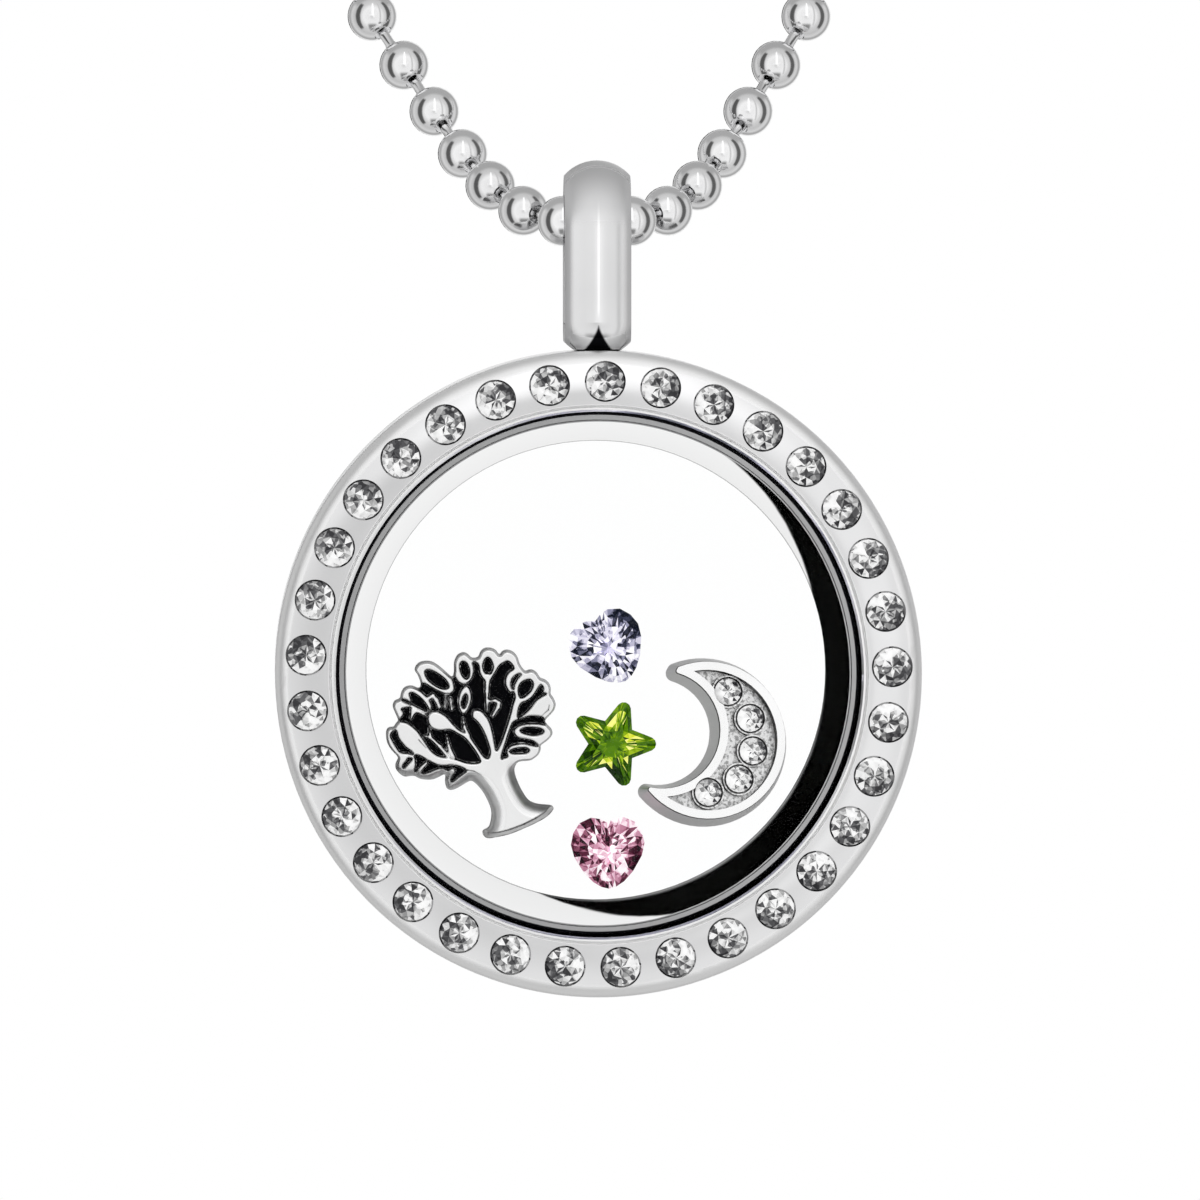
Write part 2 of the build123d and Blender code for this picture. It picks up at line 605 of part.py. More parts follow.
def moon_core():
    """Crescent that the moon's front and back outlines stand round at a constant distance."""
    outer = arc_through(MOON_TOP_OUTER, MOON_OUTER_MID, MOON_LOW_OUTER)
    inner = arc_through(MOON_LOW_INNER, MOON_INNER_MID, MOON_TOP_INNER)
    lower_end = Line(outer @ 1, inner @ 0)
    upper_end = Line(inner @ 1, outer @ 0)
    sharp = make_face([outer, lower_end, inner, upper_end])
    return offset(sharp, -MOON_SLOPE - MOON_CORNER)


def stand_moon(shape):
    """Turn the moon or a stone in it to face the front, tipped up and to the right."""
    x, z = charm_point(MOON_CENTRE)
    upright = Pos(x, MOON_BACK_Y, z) * Rot(-MOON_TIP, 0.0, MOON_TIP) * Rot(90.0, 0.0, 0.0)
    return upright * Pos(-x, -z, 0.0) * shape


def build_moon():
    """Moon charm: a crescent tray with sloping sides, a raised rim and a seat for each stone."""
    core = moon_core()
    back = offset(core, MOON_CORNER + MOON_SLOPE)
    front = offset(core, MOON_CORNER)
    body = loft([back.face(), Pos(0.0, 0.0, MOON_DEPTH) * front.face()], ruled=True)
    tray = offset(core, MOON_CORNER - MOON_RIM)
    body -= Pos(0.0, 0.0, MOON_FLOOR) * extrude(tray, MOON_DEPTH)
    seat_radius = MOON_STONE_RADIUS + CRYSTAL_SEAT_GAP
    places = [charm_point(point) for point in MOON_STONES]
    collar = extrude(Circle(seat_radius + MOON_COLLAR), MOON_SEAT_TOP - MOON_COLLAR_FOOT)
    for x, z in places:
        body += Pos(x, z, MOON_COLLAR_FOOT) * collar
    for x, z in places:
        body -= Pos(x, z, MOON_SEAT_FLOOR) * extrude(Circle(seat_radius), MOON_DEPTH)
    return stand_moon(body)


def build_moon_stones():
    """Stones standing in the moon's seats, each cut facing +Z before the moon is stood up."""
    facing = Rot(-90.0, 0.0, 0.0) * round_stone(
        MOON_STONE_RADIUS, -MOON_SEAT_TOP, MOON_STONE_CROWN, MOON_STONE_DEPTH
    )
    places = [charm_point(point) for point in MOON_STONES]
    return [stand_moon(Pos(x, z, 0.0) * facing) for x, z in places]


def heart_outline(half_width, turn):
    """Corners of a heart, notch up before turning, with two round lobes and a blunt point."""
    left_half = [(-x, z) for x, z in HEART_HALF[-2:0:-1]]
    spin = radians(turn)
    return [
        (
            half_width * (x * cos(spin) - z * sin(spin)),
            half_width * (x * sin(spin) + z * cos(spin)),
        )
        for x, z in (*HEART_HALF, *left_half)
    ]


def star_outline():
    """Corners of a five-point star with round tips."""
    corners = []
    for k in range(5):
        tip = radians(72.0 * k)
        middle = STAR_TIP_RADIUS - STAR_TIP_ROUND
        for turn in STAR_TIP_TURNS:
            angle = tip + radians(turn)
            corners.append(
                (
                    middle * cos(tip) + STAR_TIP_ROUND * cos(angle),
                    middle * sin(tip) + STAR_TIP_ROUND * sin(angle),
                )
            )
        valley = tip + radians(36.0)
        corners.append((STAR_VALLEY_RADIUS * cos(valley), STAR_VALLEY_RADIUS * sin(valley)))
    return corners


def scaled(outline, share):
    """Outline drawn in towards its centre."""
    return [(x * share, z * share) for x, z in outline]


def fancy_stone(outline, point, height_front, height_back):
    """Loose cut stone with its point resting near the back glass."""
    x, z = charm_point(point)
    girdle_y = CHARM_STONE_BACK_Y - height_back
    depths = (
        girdle_y - height_front,
        girdle_y - height_front * FANCY_MIDDLE_HEIGHT,
        girdle_y,
        girdle_y + FANCY_GIRDLE,
        CHARM_STONE_BACK_Y,
    )
    table = scaled(outline, FANCY_TABLE_SHARE)
    middle = scaled(outline, FANCY_MIDDLE_SHARE)
    stone = cut_stone(outline, table, middle, depths)
    return Pos(x, 0.0, z) * stone


def chain_route():
    """Ball centres from the bail to the nape on the wearer's left side, about the first bead axis.

    The route runs straight up the chest plane, bends over the shoulder and round the neck in one
    leaning plane, with the neck's radius chosen so that both sides meet at the nape.
    """
    balls = [(PITCH / 2.0, 0.0, 0.0)]
    for turn, rise in FIRST_LINKS:
        x, y, z = balls[-1]
        flat = PITCH * cos(radians(rise))
        balls.append(
            (
                x + flat * cos(radians(turn)),
                y + flat * sin(radians(turn)),
                z + PITCH * sin(radians(rise)),
            )
        )
    start = balls[-1]
    start_angle = radians(STRAIGHT_ANGLE)
    links_left = BALLS_PER_SIDE - len(balls)
    shoulder = SHOULDER_RADIUS * (pi / 2.0 - start_angle)
    rest = links_left * PITCH + END_BALL_X - shoulder
    reach = start[0] + rest * cos(start_angle) + SHOULDER_RADIUS * (1.0 - sin(start_angle))
    neck_radius = reach / (1.0 + pi / 2.0 * cos(start_angle))
    straight = rest - neck_radius * pi / 2.0
    for k in range(1, links_left + 1):
        across, up = route_point(k * PITCH, straight, shoulder, neck_radius, start_angle)
        lean = radians(LEAN_BACK)
        balls.append((start[0] + across, start[1] + up * sin(lean), start[2] + up * cos(lean)))
    return balls


def route_point(distance, straight, shoulder, neck_radius, start_angle):
    """Place across and up the leaning plane at a distance along straight, shoulder and neck."""
    part = min(distance, straight)
    across = part * cos(start_angle)
    up = part * sin(start_angle)
    if distance > straight:
        bend = min(distance - straight, shoulder) / SHOULDER_RADIUS
        across += SHOULDER_RADIUS * (sin(start_angle + bend) - sin(start_angle))
        up += SHOULDER_RADIUS * (cos(start_angle) - cos(start_angle + bend))
        across_end = across
    if distance > straight + shoulder:
        bend = (distance - straight - shoulder) / neck_radius
        across = across_end - neck_radius * (1.0 - cos(bend))
        up += neck_radius * sin(bend)
    return across, up


def towards(start, finish):
    """Unit vector from one ball centre to another."""
    return (Vector(*finish) - Vector(*start)).normalized()


def ball_blank(drilled, pinned):
    """Hollow ball about the origin with its pin and round head up +Z, drilled from below or not."""
    hole = BALL_HOLE if drilled else 0.0
    outer_low = -((BALL_RADIUS**2 - hole**2) ** 0.5)
    inner_low = -((BALL_HOLLOW**2 - hole**2) ** 0.5)
    pin_root = (BALL_RADIUS**2 - PIN_RADIUS**2) ** 0.5
    head_root = PIN_LENGTH - (PIN_HEAD_RADIUS**2 - PIN_RADIUS**2) ** 0.5
    head_top = (0.0, PIN_LENGTH + PIN_HEAD_RADIUS)
    inner_top = (0.0, BALL_HOLLOW)
    lines = [
        ThreePointArc((hole, outer_low), (BALL_RADIUS, 0.0), (PIN_RADIUS, pin_root)),
        Line((PIN_RADIUS, pin_root), (PIN_RADIUS, head_root)),
        ThreePointArc((PIN_RADIUS, head_root), (PIN_HEAD_RADIUS, PIN_LENGTH), head_top),
        Line(head_top, inner_top),
    ]
    if not pinned:
        lines = [
            ThreePointArc((hole, outer_low), (BALL_RADIUS, 0.0), (0.0, BALL_RADIUS)),
            Line((0.0, BALL_RADIUS), inner_top),
        ]
    lines.append(ThreePointArc(inner_top, (BALL_HOLLOW, 0.0), (hole, inner_low)))
    lines.append(Line((hole, inner_low), (hole, outer_low)))
    section = Plane.XZ * make_face(lines)
    return revolve(section, Axis.Z)


def loose_pin():
    """Pin and round head up +Z, to be joined to a ball about the origin."""
    head_root = PIN_LENGTH - (PIN_HEAD_RADIUS**2 - PIN_RADIUS**2) ** 0.5
    root = (BALL_RADIUS + BALL_HOLLOW) / 2.0
    top = (0.0, PIN_LENGTH + PIN_HEAD_RADIUS)
    lines = [
        Line((0.0, root), (PIN_RADIUS, root)),
        Line((PIN_RADIUS, root), (PIN_RADIUS, head_root)),
        ThreePointArc((PIN_RADIUS, head_root), (PIN_HEAD_RADIUS, PIN_LENGTH), top),
        Line(top, (0.0, root)),
    ]
    return revolve(Plane.XZ * make_face(lines), Axis.Z)


def chain_ball(centre, incoming, outgoing, tied):
    """One link: a hollow ball that holds the last pin's head, with its own pin to the next ball.

    A tied ball has a second pin of its own where the others are drilled.
    """
    if outgoing is None:
        return Plane(origin=Vector(*centre), z_dir=-incoming) * ball_blank(True, False)
    place = Plane(origin=Vector(*centre), z_dir=outgoing)
    if tied:
        second = Plane(origin=Vector(*centre), z_dir=incoming) * loose_pin()
        return place * ball_blank(False, True) + second
    if (incoming + outgoing).length < STRAIGHT_ENOUGH:
        return place * ball_blank(True, True)
    start = Vector(*centre) + incoming * BALL_HOLLOW / 2.0
    drill = Plane(origin=start, z_dir=incoming) * extrude(Circle(BALL_HOLE), BALL_RADIUS)
    return place * ball_blank(False, True) - drill


def build_chain(side, tied):
    """One side of the chain; side is +1 or -1, and a tied side holds the pin inside the bail."""
    balls = [(side * x, y, z) for x, y, z in chain_route()]
    before = (balls[0][0] - side * PITCH, balls[0][1], balls[0][2])
    links = []
    for k, centre in enumerate(balls):
        incoming = towards(centre, balls[k - 1] if k else before)
        outgoing = towards(centre, balls[k + 1]) if k + 1 < len(balls) else None
        links.append(chain_ball(centre, incoming, outgoing, tied and k == 0))
    return links


def build_clasp(nape):
    """Slit sleeve that grips the two end balls at the nape."""
    length = 2.0 * CLASP_HALF_LENGTH
    sleeve = Cylinder(CLASP_RADIUS, length) - Cylinder(
        CLASP_BORE, length - 2.0 * CLASP_END_WALL
    )
    sleeve -= Cylinder(CLASP_END_HOLE, length)
    sleeve -= Pos(0.0, CLASP_RADIUS, 0.0) * Box(CLASP_SLOT, CLASP_SLOT_DEPTH, CLASP_SLOT_LENGTH)
    lean = Rot(90.0 - LEAN_BACK, 0.0, 0.0)
    return Pos(*nape) * lean * Rot(0.0, 90.0, 0.0) * sleeve


def build_all():
    """Every node by name, in the part's frame."""
    last = chain_route()[-1]
    nape = (0.0, last[1], last[2])
    lean = radians(LEAN_BACK)
    origin = (
        0.0,
        nape[1] - CLASP_RADIUS * sin(lean),
        nape[2] - CLASP_RADIUS * cos(lean),
    )
    to_origin = Pos(-origin[0], -origin[1], -origin[2])
    to_locket = to_origin * Pos(0.0, 0.0, -BEAD_ABOVE_LOCKET)
    nodes = {
        "chain_left": [to_origin * link for link in build_chain(1.0, True)],
        "chain_right": [to_origin * link for link in build_chain(-1.0, False)],
        "chain_clasp": to_origin * build_clasp(nape),
        "case": to_locket * build_case(),
        "bezel": to_locket * build_bezel(),
    }
    glass_front = COLLAR_FRONT_Y - GLASS_GAP - GLASS_THICKNESS
    nodes["front_glass"] = to_locket * disc(
        FRONT_GLASS_RADIUS, glass_front, glass_front + GLASS_THICKNESS
    )
    glass_back = BACK_SEAT_Y + GLASS_GAP
    nodes["back_glass"] = to_locket * disc(
        BACK_GLASS_RADIUS, glass_back, glass_back + GLASS_THICKNESS
    )
    crystal = round_stone(CRYSTAL_RADIUS, FRONT_Y, CRYSTAL_CROWN, CRYSTAL_DEPTH)
    for k, (x, z) in enumerate(crystal_places()):
        nodes[f"crystal_{k + 1:02d}"] = to_locket * Pos(x, 0.0, z) * crystal
    nodes["tree_charm"] = to_locket * build_tree()
    nodes["moon_charm"] = to_locket * build_moon()
    for k, stone in enumerate(build_moon_stones()):
        nodes[f"moon_stone_{k + 1}"] = to_locket * stone
    for name, x, y, half_width, turn in HEARTS:
        heart = heart_outline(half_width, turn)
        nodes[name] = to_locket * fancy_stone(heart, (x, y), HEART_CROWN, HEART_DEPTH)
    nodes["star_green"] = to_locket * fancy_stone(
        star_outline(), STAR_CENTRE, STAR_CROWN, STAR_DEPTH
    )
    return nodes


def main():
    """Write one file for each node."""
    os.makedirs("parts", exist_ok=True)
    for name, shape in build_all().items():
        whole = Compound(children=shape) if isinstance(shape, list) else shape
        export_step(whole, f"parts/{name}.step")


if __name__ == "__main__":
    main()
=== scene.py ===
"""Floating locket on a ball chain: finer pieces, finishes, light and camera over the fixed frame.

Lengths inside the classes are in millimetres and become metres when a mesh is made. The locket's
own frame has x to the wearer's left, y backwards and z up, about the centre of the round case.
"""

import logging
from dataclasses import dataclass, field
from enum import Enum
from math import cos, pi, radians, sin, tan
from typing import Union

import bmesh
import bpy
import numpy as np
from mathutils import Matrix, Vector


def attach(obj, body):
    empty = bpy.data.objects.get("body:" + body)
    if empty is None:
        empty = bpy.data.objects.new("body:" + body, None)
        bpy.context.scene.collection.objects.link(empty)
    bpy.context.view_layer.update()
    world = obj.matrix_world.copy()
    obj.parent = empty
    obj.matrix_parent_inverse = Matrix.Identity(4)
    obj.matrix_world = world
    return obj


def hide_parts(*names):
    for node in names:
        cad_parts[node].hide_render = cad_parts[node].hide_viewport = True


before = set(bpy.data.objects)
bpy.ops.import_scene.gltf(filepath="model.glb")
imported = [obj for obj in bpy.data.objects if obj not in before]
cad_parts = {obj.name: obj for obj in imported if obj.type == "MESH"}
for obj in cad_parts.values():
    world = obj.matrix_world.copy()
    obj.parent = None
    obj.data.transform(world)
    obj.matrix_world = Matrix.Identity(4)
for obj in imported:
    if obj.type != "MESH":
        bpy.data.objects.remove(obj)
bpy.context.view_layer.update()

LOG = logging.getLogger("locket")
MM = 0.001
DEGREES = 180.0 / pi

# The point half way between the two balls inside the bail, and the middle of the round case.
BEAD_AXIS = np.array((0.0, -105.791, -143.656))
LOCKET_CENTRE = BEAD_AXIS - np.array((0.0, 0.0, 21.0))

# The picture's scale, and the point in it where the case's middle is.
POINTS_PER_MM = 21.47
CENTRE_POINT = np.array((597.0, 672.0))

# The moon tray: its middle as a picture point, the depth of its back and its tip in degrees.
MOON_CENTRE = (714.0, 744.0)
MOON_BACK = 1.3
MOON_TIP = 7.0

# How far from an outline distances are worked out, in picture points; corners nearer than MERGE
# metres become one; and a direction that no link of the chain runs along.
MARGIN = 20.0
MERGE = 2e-7
SIDE = np.array((0.31, 0.17, 0.935))

WHITE = (1.0, 1.0, 1.0)
# Black for the tree's oxide in its hollows, and for painted shade and painted dark reflections on
# the case and the tree's sides.
BLACK_OXIDE_AND_PAINTED_SHADE = (0.004, 0.004, 0.005)

Operand = Union["Wire", float]
Pair = tuple[float, float]
Colour = tuple[float, float, float]
Stops = tuple[tuple[float, Colour], ...]


class Body(Enum):
    """Moving groups that a piece can ride on."""

    CHAIN = "chain"
    LOCKET = "locket"
    LID = "lid"


class Slot(Enum):
    """Material slots of the record."""

    STEEL = "polished_steel"
    CLEAR = "clear_stone"
    LAVENDER = "lavender_stone"
    GREEN = "green_stone"
    PINK = "pink_stone"


class Wire:
    """One socket of a node tree, with the arithmetic that its Math nodes do."""

    def __init__(self, graph: "Graph", socket: bpy.types.NodeSocket) -> None:
        """Keep the socket and the graph it belongs to."""
        self.graph = graph
        self.socket = socket

    def _math(self, operation: str, *values: Operand) -> "Wire":
        """Result of a Math node fed with the values."""
        settings = {"operation": operation}
        return self.graph.add("ShaderNodeMath", settings, dict(enumerate(values)))[0]

    def __add__(self, other: Operand) -> "Wire":
        """Sum."""
        return self._math("ADD", self, other)

    def __radd__(self, other: Operand) -> "Wire":
        """Sum, the other way round."""
        return self._math("ADD", other, self)

    def __sub__(self, other: Operand) -> "Wire":
        """Difference."""
        return self._math("SUBTRACT", self, other)

    def __rsub__(self, other: Operand) -> "Wire":
        """Difference, the other way round."""
        return self._math("SUBTRACT", other, self)

    def __mul__(self, other: Operand) -> "Wire":
        """Product."""
        return self._math("MULTIPLY", self, other)

    def __rmul__(self, other: Operand) -> "Wire":
        """Product, the other way round."""
        return self._math("MULTIPLY", other, self)

    def __truediv__(self, other: Operand) -> "Wire":
        """Quotient."""
        return self._math("DIVIDE", self, other)

    def root(self) -> "Wire":
        """Square root."""
        return self._math("SQRT", self)

    def size(self) -> "Wire":
        """Absolute value."""
        return self._math("ABSOLUTE", self)

    def angle(self, other: Operand) -> "Wire":
        """Angle whose tangent is this value over the other."""
        return self._math("ARCTAN2", self, other)

    def arcsine(self) -> "Wire":
        """Angle whose sine is this value."""
        return self._math("ARCSINE", self)

    def arccosine(self) -> "Wire":
        """Angle whose cosine is this value."""
        return self._math("ARCCOSINE", self)

    def larger(self, other: Operand) -> "Wire":
        """The larger of two values."""
        return self._math("MAXIMUM", self, other)

    def smaller(self, other: Operand) -> "Wire":
        """The smaller of two values."""
        return self._math("MINIMUM", self, other)

    def wrapped(self, low: float, high: float) -> "Wire":
        """Value wrapped round between two limits."""
        return self._math("WRAP", self, high, low)

    def step(self, low: float, high: float) -> "Wire":
        """Smooth step.

        Args:
            low: Value at and below which the step is 0.
            high: Value at and above which it is 1.

        Returns:
            The step, eased between the two.
        """
        settings = {"interpolation_type": "SMOOTHSTEP"}
        sockets = {"Value": self, "From Min": low, "From Max": high}
        return self.graph.add("ShaderNodeMapRange", settings, sockets)[0]

    def fade(self, low: float, high: float) -> "Wire":
        """The smooth step upside down: 1 at or below low, 0 at or above high."""
        return 1.0 - self.step(low, high)

    def within(self, half: float, soft: float) -> "Wire":
        """One where the value is under half and zero beyond it, eased over soft."""
        return self.fade(half - soft / 2.0, half + soft / 2.0)


class Node:
    """A node whose outputs are taken by number or name as wires."""

    def __init__(self, graph: "Graph", node: bpy.types.Node) -> None:
        """Keep the node and its graph."""
        self.graph = graph
        self.node = node

    def __getitem__(self, key: int | str) -> Wire:
        """Output of the node."""
        return Wire(self.graph, self.node.outputs[key])


class Graph:
    """A node tree that is filled one node at a time."""

    def __init__(self, tree: bpy.types.NodeTree) -> None:
        """Empty the tree and keep it."""
        self.tree = tree
        tree.nodes.clear()

    def add(self, kind: str, settings: dict | None = None, sockets: dict | None = None) -> Node:
        """Add a node.

        Args:
            kind: Blender's type of the node.
            settings: Attributes to set first; "stops" is a ramp's list of (place, colour).
            sockets: Values or wires by the input's number or name.

        Returns:
            The new node.
        """
        node = self.tree.nodes.new(kind)
        for key, value in (settings or {}).items():
            if key == "stops":
                while len(node.color_ramp.elements) < len(value):
                    node.color_ramp.elements.new(0.5)
                for element, (place, colour) in zip(node.color_ramp.elements, value):
                    element.position = place
                    element.color = (*colour, 1.0)
            else:
                setattr(node, key, value)
        for key, value in (sockets or {}).items():
            if isinstance(value, Wire):
                self.tree.links.new(value.socket, node.inputs[key])
            else:
                node.inputs[key].default_value = value
        return Node(self, node)

    def place(self) -> Wire:
        """Object coordinates in metres."""
        return self.add("ShaderNodeTexCoord")["Object"]

    def axes(self, vector: Wire) -> tuple[Wire, Wire, Wire]:
        """The three parts of a vector."""
        split = self.add("ShaderNodeSeparateXYZ", sockets={0: vector})
        return split[0], split[1], split[2]

    def locket_axes(self) -> tuple[Wire, Wire, Wire, Wire]:
        """Place about the locket's centre.

        Returns:
            x, y and z in millimetres, and the distance from the locket's axis.
        """
        places = zip(self.axes(self.place()), LOCKET_CENTRE)
        x, y, z = (part * (1.0 / MM) - float(middle) for part, middle in places)
        return x, y, z, (x * x + z * z).root()

    def noise(self, scale: float, detail: float = 2.0, vector: Wire | None = None) -> Wire:
        """Smooth noise between 0 and 1, with scale in cells for each metre."""
        sockets = {"Vector": vector or self.place(), "Scale": scale, "Detail": detail}
        return self.add("ShaderNodeTexNoise", sockets=sockets)["Fac"]

    def cells(self, scale: float) -> Wire:
        """One chance value for each cell of a broken-up space."""
        node = self.add("ShaderNodeTexVoronoi", None, {"Vector": self.place(), "Scale": scale})
        return self.axes(node["Color"])[0]

    def tone(self) -> Wire:
        """Tone that the mesh stores for its facets or corners."""
        return self.add("ShaderNodeAttribute", {"attribute_name": "tone"})["Fac"]

    def blend(self, share: Operand, first: Wire | Colour, second: Wire | Colour) -> Wire:
        """Colour between the first and the second by share."""
        sockets = {0: share, 6: opaque(first), 7: opaque(second)}
        return self.add("ShaderNodeMix", {"data_type": "RGBA"}, sockets)[2]

    def bump(self, height: Wire, strength: float, distance: float) -> Wire:
        """Normal tipped by a height, with distance in metres."""
        sockets = {"Height": height, "Strength": strength, "Distance": distance}
        return self.add("ShaderNodeBump", sockets=sockets)["Normal"]

    def principled(self, sockets: dict) -> Wire:
        """Principled shader fed with the sockets."""
        return self.add("ShaderNodeBsdfPrincipled", sockets=sockets)[0]


def opaque(colour: Wire | Colour) -> Wire | tuple[float, ...]:
    """Colour with an alpha of one, or the wire as it is."""
    return colour if isinstance(colour, Wire) else (*colour, 1.0)


def grey(level: float) -> Colour:
    """Colour of three equal parts."""
    return (level, level, level)


@dataclass(frozen=True)
class Finish:
    """Base of the finishes: a name, and a surface shader that each kind of finish works out.

    Where a field of a finish is a pair, an eased change starts at its first number and ends at its
    second. Such a place is in millimetres: a radius about the locket's axis, or an x, y or z in
    the locket's own frame where the name ends so.
    """

    name: str

    def surface(self, graph: Graph) -> Wire:
        """Surface shader."""
        raise NotImplementedError

    def material(self) -> bpy.types.Material:
        """Make the material.

        Returns:
            The finished material.
        """
        material = bpy.data.materials.new(self.name)
        material.use_nodes = True
        graph = Graph(material.node_tree)
        graph.add("ShaderNodeOutputMaterial", sockets={"Surface": self.surface(graph)})
        return material


@dataclass(frozen=True)
class PolishedSteel(Finish):
    """Mirror-polished stainless steel with faint haze, hairlines and softened edges."""

    colour: Colour = (0.80, 0.80, 0.805)
    haze: float = 0.07
    haze_change: float = 0.05
    grain: float = 0.04
    cloud_scale: float = 220.0
    cloud: Pair = (0.3, 0.7)
    cloud_shade: float = 0.94
    patch_scale: float = 420.0
    patch: Pair = (0.35, 0.75)
    mark_scale: float = 1500.0
    mark: Pair = (0.45, 0.8)
    mark_stretch: float = 14.0
    mark_share: float = 0.5
    wave_scale: float = 900.0
    wave_height: float = 0.00002

    def colour_wire(self, graph: Graph) -> Wire:
        """Base colour with a slow, faint change.

        Args:
            graph: The material's nodes.

        Returns:
            The colour.
        """
        cloud = graph.noise(self.cloud_scale, 3.0).step(*self.cloud)
        darker = tuple(value * self.cloud_shade for value in self.colour)
        return graph.blend(cloud, self.colour, darker)

    def roughness_wire(self, graph: Graph) -> Wire:
        """Roughness with patches of haze and fine polishing marks.

        Args:
            graph: The material's nodes.

        Returns:
            The roughness.
        """
        patches = graph.noise(self.patch_scale, 4.0).step(*self.patch)
        sockets = {"Vector": graph.place(), "Scale": (1.0, 1.0, self.mark_stretch)}
        stretched = graph.add("ShaderNodeMapping", sockets=sockets)[0]
        marks = graph.noise(self.mark_scale, 3.0, stretched).step(*self.mark)
        fine = marks * (self.haze_change * self.mark_share)
        return patches * self.haze_change + fine + self.haze

    def normal_wire(self, graph: Graph) -> Wire:
        """Normal with a trace of polishing waviness."""
        return graph.bump(graph.noise(self.wave_scale), self.grain, self.wave_height)

    def tipped(self, graph: Graph, height: Wire) -> Wire:
        """Normal tipped by a height in millimetres, with the polishing waviness over it."""
        waves = graph.noise(self.wave_scale) * (self.wave_height * self.grain)
        return graph.bump(height * MM + waves, 1.0, 1.0)

    def surface(self, graph: Graph) -> Wire:
        """Surface shader.

        Args:
            graph: The material's nodes.

        Returns:
            The shader.
        """
        sockets = {
            "Base Color": self.colour_wire(graph),
            "Metallic": 1.0,
            "Roughness": self.roughness_wire(graph),
            "Normal": self.normal_wire(graph),
        }
        return graph.principled(sockets)


@dataclass(frozen=True)
class CaseSteel(PolishedSteel):
    """Case steel: a hand-bent bail, with a painted highlight on its ridge, a window wall painted
    brighter, and painted shadow in the seams.
    """

    outer: Pair = (14.85, 14.95)
    outer_z: Pair = (14.7, 15.1)
    outer_haze: float = 0.1
    bail_z: Pair = (15.0, 15.6)
    dome_z: Pair = (20.6, 21.8)
    dome_haze: float = 0.3
    flank_x: Pair = (1.15, 1.4)
    flank_haze: float = 0.22
    wall: Pair = (11.75, 11.8)
    wall_polish: float = 0.75
    # The window's wall is painted brighter than the rest of the steel, a painted highlight.
    wall_colour: Colour = grey(0.9)
    seam_start: Pair = (11.99, 12.02)
    seam_end: Pair = (13.45, 13.48)
    seam_front_y: Pair = (-1.75, -1.65)
    seam_back_y: Pair = (1.0, 1.2)
    # Painted dark reflection at the bail's foot: its top, slope, flare, width, start and lowest z.
    foot_reflection_top: float = 16.25
    foot_reflection_slope: float = 0.26
    foot_reflection_flare: float = 0.227
    foot_reflection_width: Pair = (-0.05, 0.08)
    foot_reflection_start: Pair = (0.02, 0.1)
    foot_reflection_z: Pair = (14.95, 15.0)
    bail_front_y: Pair = (-1.3, -1.2)
    # Painted shadow line on the wall's deep end, next to the back pane.
    window: Pair = (10.84, 10.88)
    window_y: Pair = (1.74, 1.86)
    window_painted_shadow: float = 0.7
    # Painted shade on the collar's front face under the bezel's lip.
    ledge: Pair = (11.69, 11.72)
    ledge_y: Pair = (-1.9, -1.8)
    ledge_top_z: Pair = (14.0, 14.1)
    ledge_painted_shade: float = 0.42
    # Painted highlight: a thin white line down the middle of the bail's front.
    ridge_x: Pair = (0.02, 0.08)
    ridge_start_z: Pair = (16.4, 17.0)
    ridge_end_z: Pair = (20.6, 22.2)
    ridge_painted_highlight: float = 0.8
    band_y: Pair = (-1.3, -1.1)
    band_z: Pair = (14.95, 15.05)
    bail_lean: float = 3.0
    bail_flatness: float = 0.2
    wall_lean: float = 4.0
    wall_bow: float = 1.35

    def roughness_wire(self, graph: Graph) -> Wire:
        """Roughness, softer on the bail and the outer side and sharp on the window's wall.

        Args:
            graph: The material's nodes.

        Returns:
            The roughness.
        """
        x, _, z, radius = graph.locket_axes()
        outer = radius.step(*self.outer).larger(z.step(*self.outer_z))
        flank = x.size().step(*self.flank_x) * self.flank_haze
        bail = (z.step(*self.dome_z) * self.dome_haze + flank) * z.step(*self.bail_z)
        rough = super().roughness_wire(graph) + outer * self.outer_haze + bail
        return rough * (1.0 - radius.fade(*self.wall) * self.wall_polish)

    def colour_wire(self, graph: Graph) -> Wire:
        """Base colour with painted light: a painted highlight on the bail's ridge, the wall painted
        brighter, painted shadow in the seams and at the window's edge, and painted shade on the
        ledge.

        The painted dark reflection at the bail's foot is as wide as d (f d + s) at the depth d
        below its top, with the flare f and the slope s.

        Args:
            graph: The material's nodes.

        Returns:
            The colour.
        """
        x, y, z, radius = graph.locket_axes()
        in_front = y.fade(*self.bail_front_y)
        # Painted shadow: the seam between the bezel and the case is painted black.
        seam = radius.step(*self.seam_start) * radius.fade(*self.seam_end)
        seam = seam * y.step(*self.seam_front_y) * y.fade(*self.seam_back_y)
        # Painted dark reflection: a black triangle painted on the front of the bail's foot.
        below = (self.foot_reflection_top - z).larger(0.0)
        width = below * (below * self.foot_reflection_flare + self.foot_reflection_slope) - x.size()
        crease = width.step(*self.foot_reflection_width) * below.step(*self.foot_reflection_start)
        crease = crease * z.step(*self.foot_reflection_z) * in_front
        # Painted shadow: a grey line where the wall meets the back pane.
        window = y.step(*self.window_y) * radius.fade(*self.window) * self.window_painted_shadow
        # Painted shade: the collar's front face is darkened under the bezel's lip.
        ledge = y.fade(*self.ledge_y) * radius.step(*self.ledge) * z.fade(*self.ledge_top_z)
        dark = seam.larger(crease).larger(window).larger(ledge * self.ledge_painted_shade)
        # Painted highlight: the bail's ridge is blended towards white.
        ridge = x.size().fade(*self.ridge_x) * z.step(*self.ridge_start_z)
        ridge = ridge * z.fade(*self.ridge_end_z) * in_front * self.ridge_painted_highlight
        steel = graph.blend(ridge, super().colour_wire(graph), WHITE)
